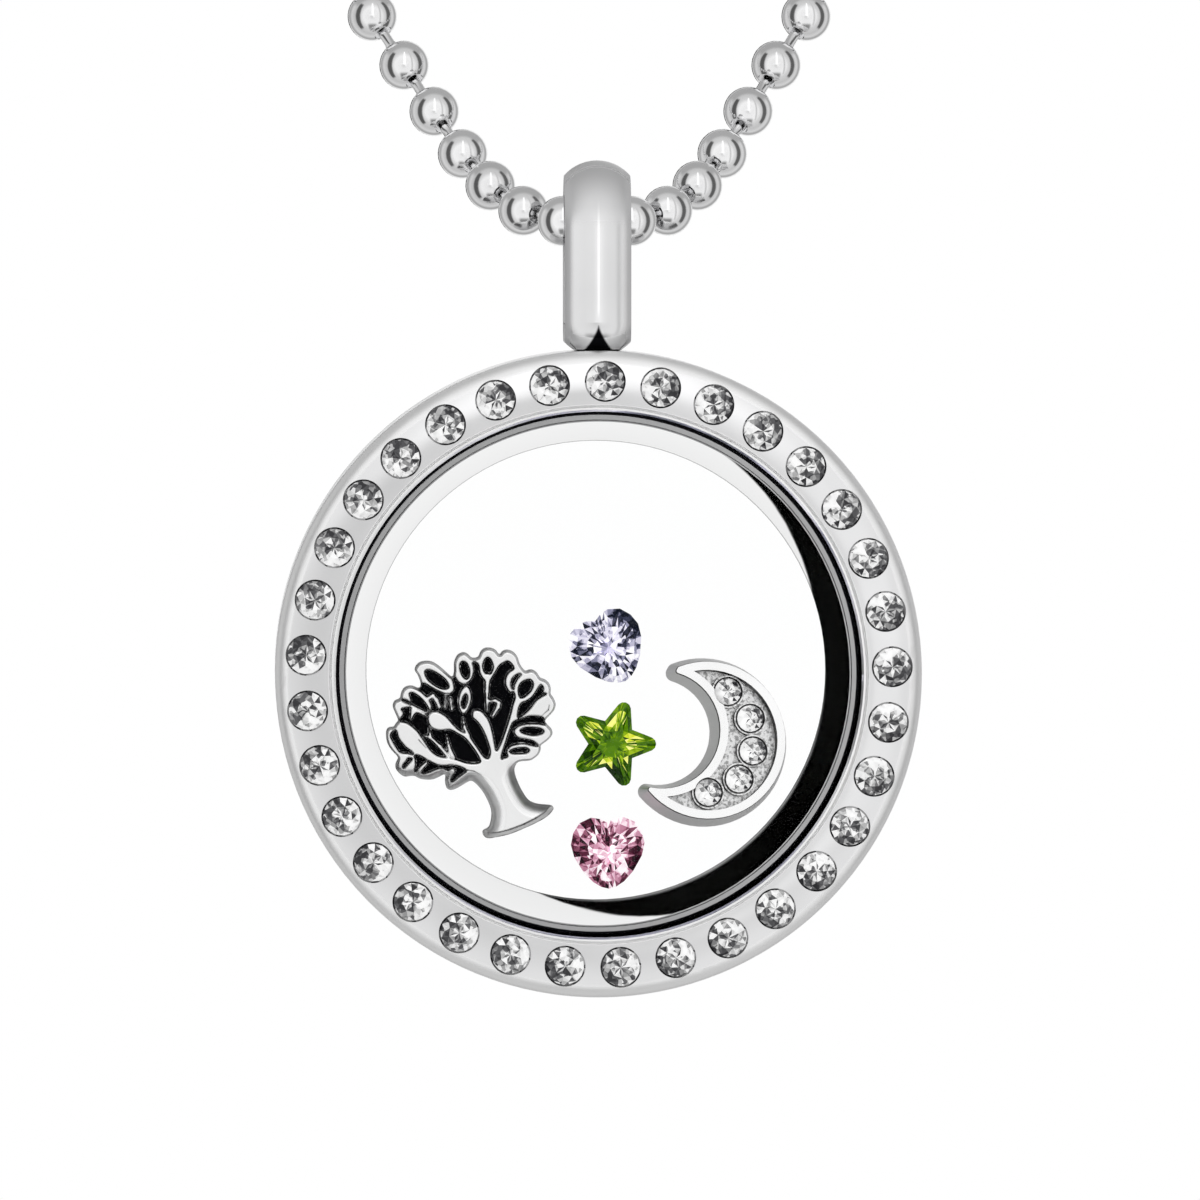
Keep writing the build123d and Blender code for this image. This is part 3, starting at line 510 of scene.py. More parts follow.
        # Painted highlight: the window's wall takes a brighter steel colour.
        steel = graph.blend(radius.fade(*self.ledge), steel, self.wall_colour)
        return graph.blend(dark, steel, BLACK_OXIDE_AND_PAINTED_SHADE)

    def normal_wire(self, graph: Graph) -> Wire:
        """Normal of the hand-bent bail and of the window's wall.

        The bail leans up a little and is flatter across than its dome, and the wall turns towards
        the axis and bows slightly from front to back: height = -y tan(lean) + b y^2 / 2.

        Args:
            graph: The material's nodes.

        Returns:
            The surface's normal.
        """
        x, y, z, radius = graph.locket_axes()
        on_bail = z.step(*self.band_z) * y.fade(*self.band_y)
        flat = x * x * (self.bail_flatness / 2.0)
        bail = (flat - z * tan(radians(self.bail_lean))) * on_bail
        bow = y * y * (radians(self.wall_bow) / 2.0)
        wall = (bow - y * tan(radians(self.wall_lean))) * radius.fade(*self.wall)
        return self.tipped(graph, bail + wall)


@dataclass(frozen=True)
class BezelSteel(PolishedSteel):
    """Bezel steel: a painted highlight on the lip round the glass and on the rounded rim, and a
    softly domed face.
    """

    # Places of the painted highlight: the lip's radius and depth, and the rounded rim's radius.
    lip: Pair = (12.5, 12.55)
    lip_y: Pair = (-3.2, -3.0)
    rim: Pair = (14.35, 14.55)
    rim_haze: float = 0.42
    groove_start: Pair = (12.34, 12.38)
    groove_end: Pair = (12.5, 12.56)
    groove_haze: float = 0.5
    dome_start: float = 12.7
    dome: float = 3.6

    def colour_wire(self, graph: Graph) -> Wire:
        """Base colour with a painted highlight on the lip and the rounded rim.

        Args:
            graph: The material's nodes.

        Returns:
            The colour.
        """
        _, y, _, radius = graph.locket_axes()
        # Painted highlight: the lip and the rounded rim are blended towards white.
        lip_and_rim_highlight = (radius.fade(*self.lip) * y.fade(*self.lip_y)).larger(radius.step(*self.rim))
        return graph.blend(lip_and_rim_highlight, super().colour_wire(graph), WHITE)

    def roughness_wire(self, graph: Graph) -> Wire:
        """Roughness, softer on the rounded rim and in the fine groove behind the lip.

        Args:
            graph: The material's nodes.

        Returns:
            The roughness.
        """
        radius = graph.locket_axes()[3]
        groove = radius.step(*self.groove_start) * radius.fade(*self.groove_end) * self.groove_haze
        return super().roughness_wire(graph) + groove + radius.step(*self.rim) * self.rim_haze

    def normal_wire(self, graph: Graph) -> Wire:
        """Normal of a face that falls away towards the rim: height = -k (r - r0)^2 / 2."""
        out = (graph.locket_axes()[3] - self.dome_start).larger(0.0)
        return self.tipped(graph, out * out * (radians(self.dome) / -2.0))


@dataclass(frozen=True)
class AntiqueSteel(PolishedSteel):
    """Cast charm metal, bright where it is raised, with painted shade greying its sides and edges,
    and black oxide in the hollows.
    """

    colour: Colour = grey(0.97)
    haze: float = 0.2
    grain: float = 0.25
    dark_patch_scale: float = 2600.0
    dark_patch_change: float = 0.9
    dark_haze: float = 0.4

    def oxide_and_painted_shade(self, graph: Graph) -> Wire:
        """Share of black: oxide in the hollows and painted shade on the sides and edges, patchy
        where it is thin.

        Args:
            graph: The material's nodes.

        Returns:
            The share: i + i (1 - i) n c, with i one less the stored tone, n noise and c the change.
        """
        ink = 1.0 - graph.tone()
        patches = graph.noise(self.dark_patch_scale, 3.0) - 0.5
        return ink + ink * (1.0 - ink) * patches * self.dark_patch_change

    def colour_wire(self, graph: Graph) -> Wire:
        """Base colour under black oxide and painted shade."""
        return graph.blend(self.oxide_and_painted_shade(graph), super().colour_wire(graph), BLACK_OXIDE_AND_PAINTED_SHADE)

    def roughness_wire(self, graph: Graph) -> Wire:
        """Roughness, dull in the recesses."""
        return super().roughness_wire(graph) + self.oxide_and_painted_shade(graph) * self.dark_haze


@dataclass(frozen=True)
class MoonSteel(PolishedSteel):
    """Moon tray metal: bright rim, granular floor, and painted shade: grey on the dull sides, black
    along their front edge, inside the rim and round each stone.

    A field that ends in front is a pair of cosines of the angle to the tray's own front, and one
    that ends in level is a pair of heights above its back.
    """

    colour: Colour = grey(0.99)
    seats: tuple[Pair, ...] = ()
    # Painted shade: a thin dark ring round each stone's seat.
    seat_line: Pair = (0.6, 0.69)
    line_blur: float = 0.02
    seat_painted_shade: Colour = grey(0.05)
    floor_level: Pair = (1.19, 1.29)
    floor_front: Pair = (0.8, 0.9)
    floor_haze: float = 0.25
    speckle_scale: float = 7000.0
    speckle: Pair = (0.36, 0.56)
    speckle_dark: Colour = grey(0.38)
    speckle_light: Colour = grey(0.92)
    side_front: Pair = (0.5, 0.7)
    # Painted shade on the sloping sides.
    side_painted_shade: Colour = grey(0.74)
    side_haze: float = 0.42
    # Painted shade: a black line along the front edge of the sides.
    crease_level: Pair = (1.31, 1.37)
    crease_painted_shade: Colour = grey(0.04)
    # Painted shade: the inner wall of the recess is near black.
    wall_front: Pair = (0.05, 0.09)
    wall_level: Pair = (0.7, 0.72)
    wall_colour: Colour = grey(0.03)
    grain_scale: float = 8000.0
    grain_strength: float = 0.4
    grain_height: float = 0.00004

    def facing(self) -> tuple[float, float, float]:
        """Direction that the tray faces."""
        lean = radians(MOON_TIP)
        return (sin(lean), -cos(lean) * cos(lean), cos(lean) * sin(lean))

    def level(self, graph: Graph) -> Wire:
        """Height above the tray's back in millimetres.

        Args:
            graph: The material's nodes.

        Returns:
            The height: the place less the back's middle, along the direction that the tray faces.
        """
        x, y, z, _ = graph.locket_axes()
        across, up = (float(value) for value in picture_points(np.array(MOON_CENTRE)))
        front = self.facing()
        return (x - across) * front[0] + (y - MOON_BACK) * front[1] + (z - up) * front[2]

    def front_share(self, graph: Graph) -> Wire:
        """Cosine of the angle between the surface and the tray's front.

        Args:
            graph: The material's nodes.

        Returns:
            The cosine.
        """
        normal = graph.add("ShaderNodeTexCoord")["Normal"]
        settings = {"operation": "DOT_PRODUCT"}
        return graph.add("ShaderNodeVectorMath", settings, {0: normal, 1: self.facing()})["Value"]

    def floor(self, graph: Graph) -> Wire:
        """One on the tray's floor and the stones' collars, and zero elsewhere."""
        low = self.level(graph).fade(*self.floor_level)
        return low * self.front_share(graph).step(*self.floor_front)

    def side(self, graph: Graph) -> Wire:
        """One on the sloping outer sides."""
        return self.front_share(graph).fade(*self.side_front)

    def outlines(self, graph: Graph) -> Wire:
        """One in the thin line of painted shade round each stone.

        Args:
            graph: The material's nodes.

        Returns:
            The line's mask, from the distance to the nearest stone's middle.
        """
        x, _, z, _ = graph.locket_axes()
        nearest = None
        for across, up in self.seats:
            gap = ((x - across) * (x - across) + (z - up) * (z - up)).root()
            nearest = gap if nearest is None else nearest.smaller(gap)
        low, high = self.seat_line
        outer = nearest.fade(high - self.line_blur, high + self.line_blur)
        return nearest.step(low - self.line_blur, low) * outer

    def colour_wire(self, graph: Graph) -> Wire:
        """Base colour, speckled on the floor, with painted shade: greyer on the sides, black along
        their front edge, inside the rim and round each stone.

        Args:
            graph: The material's nodes.

        Returns:
            The colour.
        """
        speckle = graph.noise(self.speckle_scale, 4.0).step(*self.speckle)
        floor = graph.blend(speckle, self.speckle_dark, self.speckle_light)
        # Painted shade: a dark ring round each stone.
        floor = graph.blend(self.outlines(graph), floor, self.seat_painted_shade)
        # Painted shade: the top of the sides turns black along the front edge.
        crease = self.level(graph).step(*self.crease_level)
        dull = graph.blend(crease, self.side_painted_shade, self.crease_painted_shade)
        # Painted shade: the sloping sides are grey.
        plain = graph.blend(self.side(graph), super().colour_wire(graph), dull)
        # Painted shade: the upright inner wall of the recess is near black.
        upright = self.front_share(graph).size().fade(*self.wall_front)
        inner_wall = upright * self.level(graph).step(*self.wall_level)
        walled = graph.blend(inner_wall, plain, self.wall_colour)
        return graph.blend(self.floor(graph), walled, floor)

    def roughness_wire(self, graph: Graph) -> Wire:
        """Roughness, matt on the floor and sides."""
        dull = self.floor(graph) * self.floor_haze + self.side(graph) * self.side_haze
        return super().roughness_wire(graph) + dull

    def normal_wire(self, graph: Graph) -> Wire:
        """Normal, granular on the floor."""
        height = graph.noise(self.grain_scale) * self.floor(graph)
        return graph.bump(height, self.grain_strength, self.grain_height)


@dataclass(frozen=True)
class WindowGlass(Finish):
    """Clear pane: see-through with a faint reflection that grows at a glance."""

    clear: Colour = (0.999, 0.9995, 0.9995)
    sheen: Colour = (0.9, 0.92, 0.93)
    gloss: float = 0.04
    ior: float = 1.45
    dust_scale: float = 700.0
    dust: Pair = (0.55, 0.8)
    dust_haze: float = 0.02

    def surface(self, graph: Graph) -> Wire:
        """Surface shader.

        Args:
            graph: The material's nodes.

        Returns:
            The shader.
        """
        clear = graph.add("ShaderNodeBsdfTransparent", sockets={"Color": opaque(self.clear)})[0]
        dust = graph.noise(self.dust_scale, 4.0).step(*self.dust) * self.dust_haze + self.dust_haze
        sockets = {"Base Color": opaque(self.sheen), "Metallic": 1.0, "Roughness": dust}
        edge = graph.add("ShaderNodeFresnel", sockets={"IOR": self.ior})[0] * self.gloss
        mixed = {0: edge, 1: clear, 2: graph.principled(sockets)}
        return graph.add("ShaderNodeMixShader", sockets=mixed)[0]


@dataclass(frozen=True)
class CutGlass(Finish):
    """Foiled cut stone: each facet's tone is a painted reflection, with a painted glow and a glossy
    face over it.
    """

    stops: Stops
    gloss: float = 0.3
    painted_glow: float = 0.3
    painted_shards: float = 0.14
    cell_scale: float = 4600.0
    haze_scale: float = 900.0
    haze_change: float = 0.04
    haze: float = 0.02
    ior: float = 1.6

    def surface(self, graph: Graph) -> Wire:
        """Surface shader.

        Args:
            graph: The material's nodes.

        Returns:
            The shader.
        """
        # Painted reflections: the facet's stored tone, broken into painted shards.
        tone = graph.tone() + (graph.cells(self.cell_scale) - 0.5) * self.painted_shards
        colour = graph.add("ShaderNodeValToRGB", {"stops": self.stops}, {0: tone})[0]
        sockets = {
            "Base Color": colour,
            "Metallic": 0.0,
            "Roughness": graph.noise(self.haze_scale) * self.haze_change + self.haze,
            "IOR": self.ior,
            "Specular IOR Level": self.gloss,
            # Painted glow: the stone gives off its own facet colours.
            "Emission Color": colour,
            "Emission Strength": self.painted_glow,
        }
        return graph.principled(sockets)


@dataclass(frozen=True)
class FloorFinish(Finish):
    """Pale matt floor with a faint mottle."""

    light: Colour = grey(0.86)
    dark: Colour = grey(0.82)
    mottle_scale: float = 30.0
    roughness: float = 0.7

    def surface(self, graph: Graph) -> Wire:
        """Surface shader."""
        tone = graph.blend(graph.noise(self.mottle_scale), self.light, self.dark)
        return graph.principled({"Base Color": tone, "Roughness": self.roughness})


# Ramps from a facet's tone to colour: each stone's own hue, from painted dark reflections up to
# painted highlights.
CLEAR_TONES: Stops = (
    (0.0, (0.02, 0.02, 0.023)),
    (0.3, (0.10, 0.10, 0.105)),
    (0.5, grey(0.42)),
    (0.75, grey(0.86)),
    (1.0, grey(0.97)),
)
LAVENDER_TONES: Stops = (
    (0.0, (0.004, 0.006, 0.014)),
    (0.24, (0.03, 0.034, 0.065)),
    (0.42, (0.24, 0.24, 0.35)),
    (0.62, (0.58, 0.56, 0.70)),
    (0.82, (0.78, 0.76, 0.87)),
    (1.0, (0.97, 0.96, 0.99)),
)
PINK_TONES: Stops = (
    (0.0, (0.012, 0.002, 0.006)),
    (0.26, (0.10, 0.016, 0.04)),
    (0.48, (0.38, 0.13, 0.21)),
    (0.69, (0.66, 0.34, 0.46)),
    (0.86, (0.86, 0.62, 0.72)),
    (1.0, (1.0, 0.93, 0.96)),
)
GREEN_TONES: Stops = (
    (0.0, (0.004, 0.02, 0.0)),
    (0.25, (0.02, 0.075, 0.0)),
    (0.5, (0.085, 0.21, 0.001)),
    (0.72, (0.33, 0.50, 0.01)),
    (0.88, (0.66, 0.72, 0.04)),
    (1.0, (0.95, 0.95, 0.26)),
)


def picture_points(points: np.ndarray) -> np.ndarray:
    """Picture points to millimetres across and up: (x - cx) / scale and (cy - y) / scale.

    Args:
        points: Array whose last axis is across and down in the picture.

    Returns:
        Array of the same shape, its last axis across and up from the locket's centre.
    """
    across = (points[..., 0] - CENTRE_POINT[0]) / POINTS_PER_MM
    up = (CENTRE_POINT[1] - points[..., 1]) / POINTS_PER_MM
    return np.stack((across, up), axis=-1)


def grid_faces(index: np.ndarray) -> np.ndarray:
    """Faces between the neighbours of a grid.

    Args:
        index: Rows by columns of corner numbers.

    Returns:
        One row of four corner numbers for each face.
    """
    corners = (index[:-1, :-1], index[1:, :-1], index[1:, 1:], index[:-1, 1:])
    return np.stack(corners, axis=-1).reshape(-1, 4)


def place_mesh(name: str, mesh: bpy.types.Mesh, material: bpy.types.Material) -> bpy.types.Object:
    """Put a mesh in the scene at the origin.

    Args:
        name: The object's name.
        mesh: Its mesh.
        material: Its finish.

    Returns:
        The object.
    """
    obj = bpy.data.objects.new(name, mesh)
    bpy.context.scene.collection.objects.link(obj)
    mesh.materials.append(material)
    return obj


@dataclass
class Shell:
    """Corners and faces of one mesh while it is being put together.

    A face is a row of four corners, and a triangle repeats its last one.
    """

    points: list[np.ndarray] = field(default_factory=list)
    quads: list[np.ndarray] = field(default_factory=list)
    tones: list[np.ndarray] = field(default_factory=list)
    count: int = 0
    per_point: bool = False

    def copies(self, points: np.ndarray, frames: np.ndarray, places: np.ndarray) -> None:
        """Add a closed grid many times.

        Args:
            points: Rows by columns by 3, wrapped along its columns so that faces point outwards.
            frames: One 3 by 3 matrix for each copy, its columns the copy's own axes.
            places: One centre for each copy.
        """
        rows, columns = points.shape[:2]
        index = np.arange(rows * columns).reshape(rows, columns)
        faces = grid_faces(np.hstack((index, index[:, :1])))
        moved = np.einsum("nij,kj->nki", frames, points.reshape(-1, 3)) + places[:, None, :]
        steps = np.arange(len(places))[:, None, None] * rows * columns
        self.add(moved.reshape(-1, 3), (faces[None] + steps).reshape(-1, 4))

    def add(self, points: np.ndarray, faces: np.ndarray, tones: np.ndarray | None = None) -> None:
        """Add corners and the faces that join them.

        Args:
            points: Corners by 3.
            faces: Rows of four of these corners' numbers.
            tones: A tone for each face, or for each corner where per_point is set; all 1 if None.
        """
        self.points.append(points)
        self.quads.append(faces + self.count)
        plain = np.ones(len(points) if self.per_point else len(faces))
        self.tones.append(plain if tones is None else tones)
        self.count += len(points)

    def mesh(self, name: str) -> bpy.types.Mesh:
        """Make the mesh.

        Args:
            name: The mesh's name.

        Returns:
            The mesh in metres, with triangles where a face repeats its last corner.
        """
        mesh = bpy.data.meshes.new(name)
        rows = np.concatenate(self.quads).tolist()
        faces = [row[:3] if row[2] == row[3] else row for row in rows]
        mesh.from_pydata(np.concatenate(self.points) * MM, [], faces)
        return mesh

    def piece(
        self,
        name: str,
        body: Body,
        material: bpy.types.Material,
        stands_for: list[str],
        crease: float | None = None,
    ) -> None:
        """Make the object, riding on its body.

        Args:
            name: The piece's name.
            body: The moving group that it rides on.
            material: Its finish.
            stands_for: The frame's nodes that it replaces.
            crease: Angle in degrees above which an edge stays sharp, or None for flat facets.
        """
        mesh = self.mesh(name)
        tone = mesh.attributes.new("tone", "FLOAT", "POINT" if self.per_point else "FACE")
        tone.data.foreach_set("value", np.concatenate(self.tones).astype(np.float32))
        work = bmesh.new()
        work.from_mesh(mesh)
        bmesh.ops.remove_doubles(work, verts=work.verts, dist=MERGE)
        work.to_mesh(mesh)
        work.free()
        obj = place_mesh(name, mesh, material)
        if crease is not None:
            mesh.shade_smooth()
            mesh.set_sharp_from_angle(angle=radians(crease))
        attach(obj, body.value)
        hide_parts(*stands_for)
        LOG.info("%s: %d faces, stands for %d nodes", name, len(mesh.polygons), len(stands_for))


def lathe(profile: np.ndarray, sides: int) -> np.ndarray:
    """Surface turned about Z: (r cos a, r sin a, h) for each profile row (r, h) and angle a.

    Args:
        profile: Rows of radius and height, from the top pole down for faces that point outwards.
        sides: Corners round the axis.

    Returns:
        Array of rows by sides by 3.
    """
    angle = np.linspace(0.0, 2.0 * pi, sides, endpoint=False)
    radius, height = profile[:, :1], profile[:, 1:]
    return np.stack((radius * np.cos(angle), radius * np.sin(angle), height + 0.0 * angle), axis=-1)


def frames_along(directions: np.ndarray) -> np.ndarray:
    """Right-handed axes with Z along each direction: X = Z cross SIDE, Y = Z cross X.

    Args:
        directions: One row of 3 for each frame, of any length.

    Returns:
        One 3 by 3 matrix for each direction, its columns the axes.
    """
    forward = directions / np.linalg.norm(directions, axis=1, keepdims=True)
    first = np.cross(forward, SIDE)
    first /= np.linalg.norm(first, axis=1, keepdims=True)
    return np.stack((first, np.cross(forward, first), forward), axis=2)


def dress(material: bpy.types.Material, *names: str) -> None:
    """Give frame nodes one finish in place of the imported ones.

    Args:
        material: The new finish.
        names: The nodes.
    """
    for name in names:
        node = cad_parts[name]
        node.data.materials.clear()
        node.data.materials.append(material)
        LOG.info("%s: dressed as %s", name, material.name)


@dataclass
class NeckChain:
    """Ball chain from the bail round the neck, and the sleeve that joins it.

    A first link is its turn from sideways towards the wearer and its rise, in degrees.
    """

    finish: Finish = PolishedSteel("chain_steel", (0.92, 0.92, 0.925), haze=0.08, haze_change=0.04)
    ball_radius: float = 1.175
    hole_radius: float = 0.44
    hole_depth: float = 0.4
    hole_taper: float = 0.02
    hole_edge: float = 0.03
    pin_radius: float = 0.25
    pin_root: float = 0.12
    pin_reach: float = 0.25
    collar_length: float = 0.35
    collar_step: float = 0.1
    pitch: float = 3.2
    balls: int = 71
    fine_balls: int = 14
    fine_rings: int = 22
    fine_sides: int = 32
    plain_rings: int = 11
    plain_sides: int = 16
    pin_sides: int = 12
    lean_back: float = 34.6
    straight_angle: float = 62.0
    shoulder_radius: float = 100.0
    end_ball_x: float = 1.35
    first_links: tuple[Pair, ...] = (
        (56.0, 8.4),
        (60.0, 21.3),
        (63.6, 27.8),
        (58.5, 38.8),
        (53.1, 43.2),
        (47.2, 46.7),
    )
    crease: float = 35.0

    def route(self) -> np.ndarray:
        """Ball centres on the wearer's left.

        The first links step by pitch along their own directions. After them the balls lie in one
        leaning plane: along a line, then an arc of the shoulder's radius, then an arc of the
        neck's radius, chosen so that both sides meet at the nape.

        Returns:
            Array of ball centres by 3, about the origin of the frame.
        """
        turn, rise = np.radians(np.array(self.first_links)).T
        steps = self.pitch * np.stack(
            (np.cos(rise) * np.cos(turn), np.cos(rise) * np.sin(turn), np.sin(rise)), axis=1
        )
        first = np.array((self.pitch / 2.0, 0.0, 0.0))
        front = np.vstack((first, first + np.cumsum(steps, axis=0)))
        start = front[-1]
        tilt = radians(self.straight_angle)
        left = self.balls - len(front)
        shoulder = self.shoulder_radius * (pi / 2.0 - tilt)
        rest = left * self.pitch + self.end_ball_x - shoulder
        reach = start[0] + rest * cos(tilt) + self.shoulder_radius * (1.0 - sin(tilt))
        neck = reach / (1.0 + pi / 2.0 * cos(tilt))
        straight = rest - neck * pi / 2.0
        run = np.arange(1, left + 1) * self.pitch
        on_line = np.minimum(run, straight)
        bend = np.clip(run - straight, 0.0, shoulder) / self.shoulder_radius
        round_neck = np.clip(run - straight - shoulder, 0.0, None) / neck
        across = (
            on_line * cos(tilt)
            + self.shoulder_radius * (np.sin(tilt + bend) - sin(tilt))
            - neck * (1.0 - np.cos(round_neck))
        )
        up = (
            on_line * sin(tilt)
            + self.shoulder_radius * (cos(tilt) - np.cos(tilt + bend))
            + neck * np.sin(round_neck)
        )
        lean = radians(self.lean_back)
        back = np.stack((across, up * sin(lean), up * cos(lean)), axis=1) + start
        return np.vstack((front, back)) + BEAD_AXIS

    def ball_profile(self, rings: int) -> np.ndarray:
        """Ball with its hole up: the sphere r sin t, r cos t from the hole's rim to the far pole.

        Args:
            rings: Rows on the sphere.

        Returns:
            Rows of radius and height, from the floor of the hole.
        """
        rim = np.arcsin(self.hole_radius / self.ball_radius)
        turn = np.linspace(rim, pi, rings)
        ball = self.ball_radius * np.stack((np.sin(turn), np.cos(turn)), axis=1)
        ball[-1, 0] = 0.0
        radius, height = ball[0]
        floor = height - self.hole_depth
        edge = (radius - self.hole_taper, height - self.hole_edge)
        return np.vstack((np.array(((0.0, floor), (radius, floor), edge)), ball))

    def pin_profile(self) -> np.ndarray:
        """Pin from inside its own ball to inside the next one, with a small collar at the ball.

        Returns:
            Rows of radius and height.
        """
        start = self.ball_radius - self.pin_root
        end = self.pitch - self.ball_radius + self.pin_reach
        radius = self.pin_radius
        collar = ((radius, start + self.collar_length), (radius + self.collar_step, start))
        return np.array(((0.0, end), (radius, end), *collar, (0.0, start)))

    def half(self, side: int, name: str, material: bpy.types.Material) -> None:
        """Build one side.

        Args:
            side: 1 for the wearer's left and -1 for the right.
            name: The node that it replaces.
            material: The chain's metal.
        """
        centres = self.route() * (side, 1.0, 1.0)
        before = centres[:1] * (-1.0, 1.0, 1.0)
        incoming = np.vstack((before, centres[:-1])) - centres
        frames = frames_along(incoming)
        shell = Shell()
        near, far = slice(self.fine_balls), slice(self.fine_balls, None)
        fine = lathe(self.ball_profile(self.fine_rings), self.fine_sides)
        plain = lathe(self.ball_profile(self.plain_rings), self.plain_sides)
        pin = lathe(self.pin_profile(), self.pin_sides)
        shell.copies(fine, frames[near], centres[near])
        shell.copies(plain, frames[far], centres[far])
        shell.copies(pin, frames_along(centres[1:] - centres[:-1]), centres[:-1])
        if side > 0:
            shell.copies(pin, frames[:1], centres[:1])
        shell.piece(name + "_balls", Body.CHAIN, material, [name], self.crease)

    def build(self) -> None:
        """Build both sides and dress the clasp."""
        material = self.finish.material()
        self.half(1, "chain_left", material)
        self.half(-1, "chain_right", material)
        dress(material, "chain_clasp")


def triangles(first: np.ndarray, second: np.ndarray, third: np.ndarray) -> np.ndarray:
    """Triangular faces as rows of four corner numbers, the last one repeated."""
    return np.stack((first, second, third, third), axis=1)


def facet_middles(points: np.ndarray, faces: np.ndarray, size: float) -> np.ndarray:
    """Middles of facets, across and up, in shares of a stone's size."""
    return points[faces[:, :3]].mean(axis=1)[:, (0, 2)] / size


@dataclass(frozen=True)
class Cluster:
    """A patch of painted dark or light reflections in a stone, in shares of its size from its
    middle.
    """

    x: float
    z: float
    reach: float
    change: float

    def gap(self, middles: np.ndarray) -> np.ndarray:
        """Distance of facets' middles from the patch's own."""
        return np.hypot(middles[:, 0] - self.x, middles[:, 1] - self.z)


@dataclass(frozen=True)
class RoundBrilliant:
    """Round cut stone: table, star facets, kites and paired facets at the girdle.

    levels are the mean painted tones of the nine kinds of facet, from the table outwards to the
    back.
    """

    radius: float
    crown: float
    depth: float
    lift: float = 0.0
    girdle: float = 0.06
    table_share: float = 0.56
    inner_share: float = 0.5
    star_share: float = 0.79
    pavilion_share: float = 0.28
    levels: tuple[float, ...] = (0.66, 0.44, 0.56, 0.52, 0.6, 0.4, 0.55, 0.4, 0.3)
    light_from: Pair = (-0.87, -0.5)
    light_change: float = 0.3
    pattern_seed: int = 12
    pattern_spread: float = 0.2
    own_spread: float = 0.09
    patches: tuple[Cluster, ...] = (
        Cluster(-0.42, -0.26, 0.34, 0.22),
        Cluster(-0.2, 0.26, 0.26, -0.34),
    )
    darkest: float = 0.04

    def facets(self) -> tuple[np.ndarray, np.ndarray, np.ndarray]:
        """Facets of a stone that faces -Y with its girdle's front edge at depth zero.

        Returns:
            Corners, faces as rows of 4 (a triangle repeats its last corner) and kinds of facet.
        """
        half = pi / 8.0
        on_table = np.arange(8) * 2.0 * half
        between = on_table + half
        rise = self.crown * (1.0 - self.star_share * cos(half)) / (1.0 - self.table_share)
        low = self.girdle + self.depth * (1.0 - self.pavilion_share * cos(half))
        edge = np.arange(16) * half
        rings = [
            self.ring(self.table_share, on_table, -self.crown),
            self.ring(self.star_share, between, -rise),
            self.ring(1.0, edge, 0.0),
            self.ring(1.0, edge, self.girdle),
            self.ring(self.pavilion_share, between, low),
            np.array(((0.0, -self.crown, 0.0), (0.0, self.girdle + self.depth, 0.0))),
            self.ring(self.table_share * self.inner_share, between, -self.crown),
        ]
        starts = np.cumsum([0] + [len(ring) for ring in rings])
        table, star, top, bottom, tips, poles, mid = starts[:7]
        k = np.arange(8)
        after, before = (k + 1) % 8, (k - 1) % 8
        middle, back = np.full(8, poles), np.full(8, poles + 1)
        odd, even = 2 * k + 1, (2 * k + 2) % 16
        faces = [
            triangles(middle, mid + k, table + k),
            triangles(middle, table + after, mid + k),
            triangles(mid + k, table + after, table + k),
            triangles(table + k, table + after, star + k),
            triangles(table + k, star + k, top + 2 * k),
            triangles(table + k, top + 2 * k, star + before),
            triangles(star + k, top + odd, top + 2 * k),
            triangles(star + k, top + even, top + odd),
            np.stack((back, tips + before, bottom + 2 * k, tips + k), axis=1),
            triangles(tips + k, bottom + 2 * k, bottom + odd),
            triangles(tips + k, bottom + odd, bottom + even),
        ]
        kinds = np.repeat(np.minimum(np.arange(13), 8), 8)
        j = np.arange(16)
        faces.append(np.stack((top + j, top + (j + 1) % 16, bottom + (j + 1) % 16, bottom + j), 1))
        return np.vstack(rings), np.vstack(faces)[:, (1, 0, 3, 2)], kinds

    def ring(self, share: float, angle: np.ndarray, depth: float) -> np.ndarray:
        """Corners at a share of the radius: (r s cos a, depth, r s sin a)."""
        reach = self.radius * share
        return np.stack((reach * np.cos(angle), depth + 0.0 * angle, reach * np.sin(angle)), axis=1)

    def tones(self, kinds: np.ndarray, middles: np.ndarray, seed: int) -> np.ndarray:
        """Tone of each facet, a painted reflection: the same light and dark shards in every stone,
        with small changes.

        Args:
            kinds: Kind of each facet.
            middles: Middle of each facet, across and up, in shares of the radius.
            seed: Number that sets the stone's own small changes.

        Returns:
            One tone for each facet.
        """
        pattern = np.random.default_rng(self.pattern_seed)
        chance = np.random.default_rng(seed)
        count = len(kinds)
        # Painted light: facets towards light_from are brighter.
        towards = (middles @ np.array(self.light_from)) * self.light_change
        shards = pattern.normal(0.0, self.pattern_spread, count)
        shards = shards + chance.normal(0.0, self.own_spread, count)
        tone = np.array(self.levels)[kinds] + towards + shards
        for patch in self.patches:
            tone = tone + patch.change * (patch.gap(middles) < patch.reach)
        return np.clip(tone + self.lift, self.darkest, 1.0)


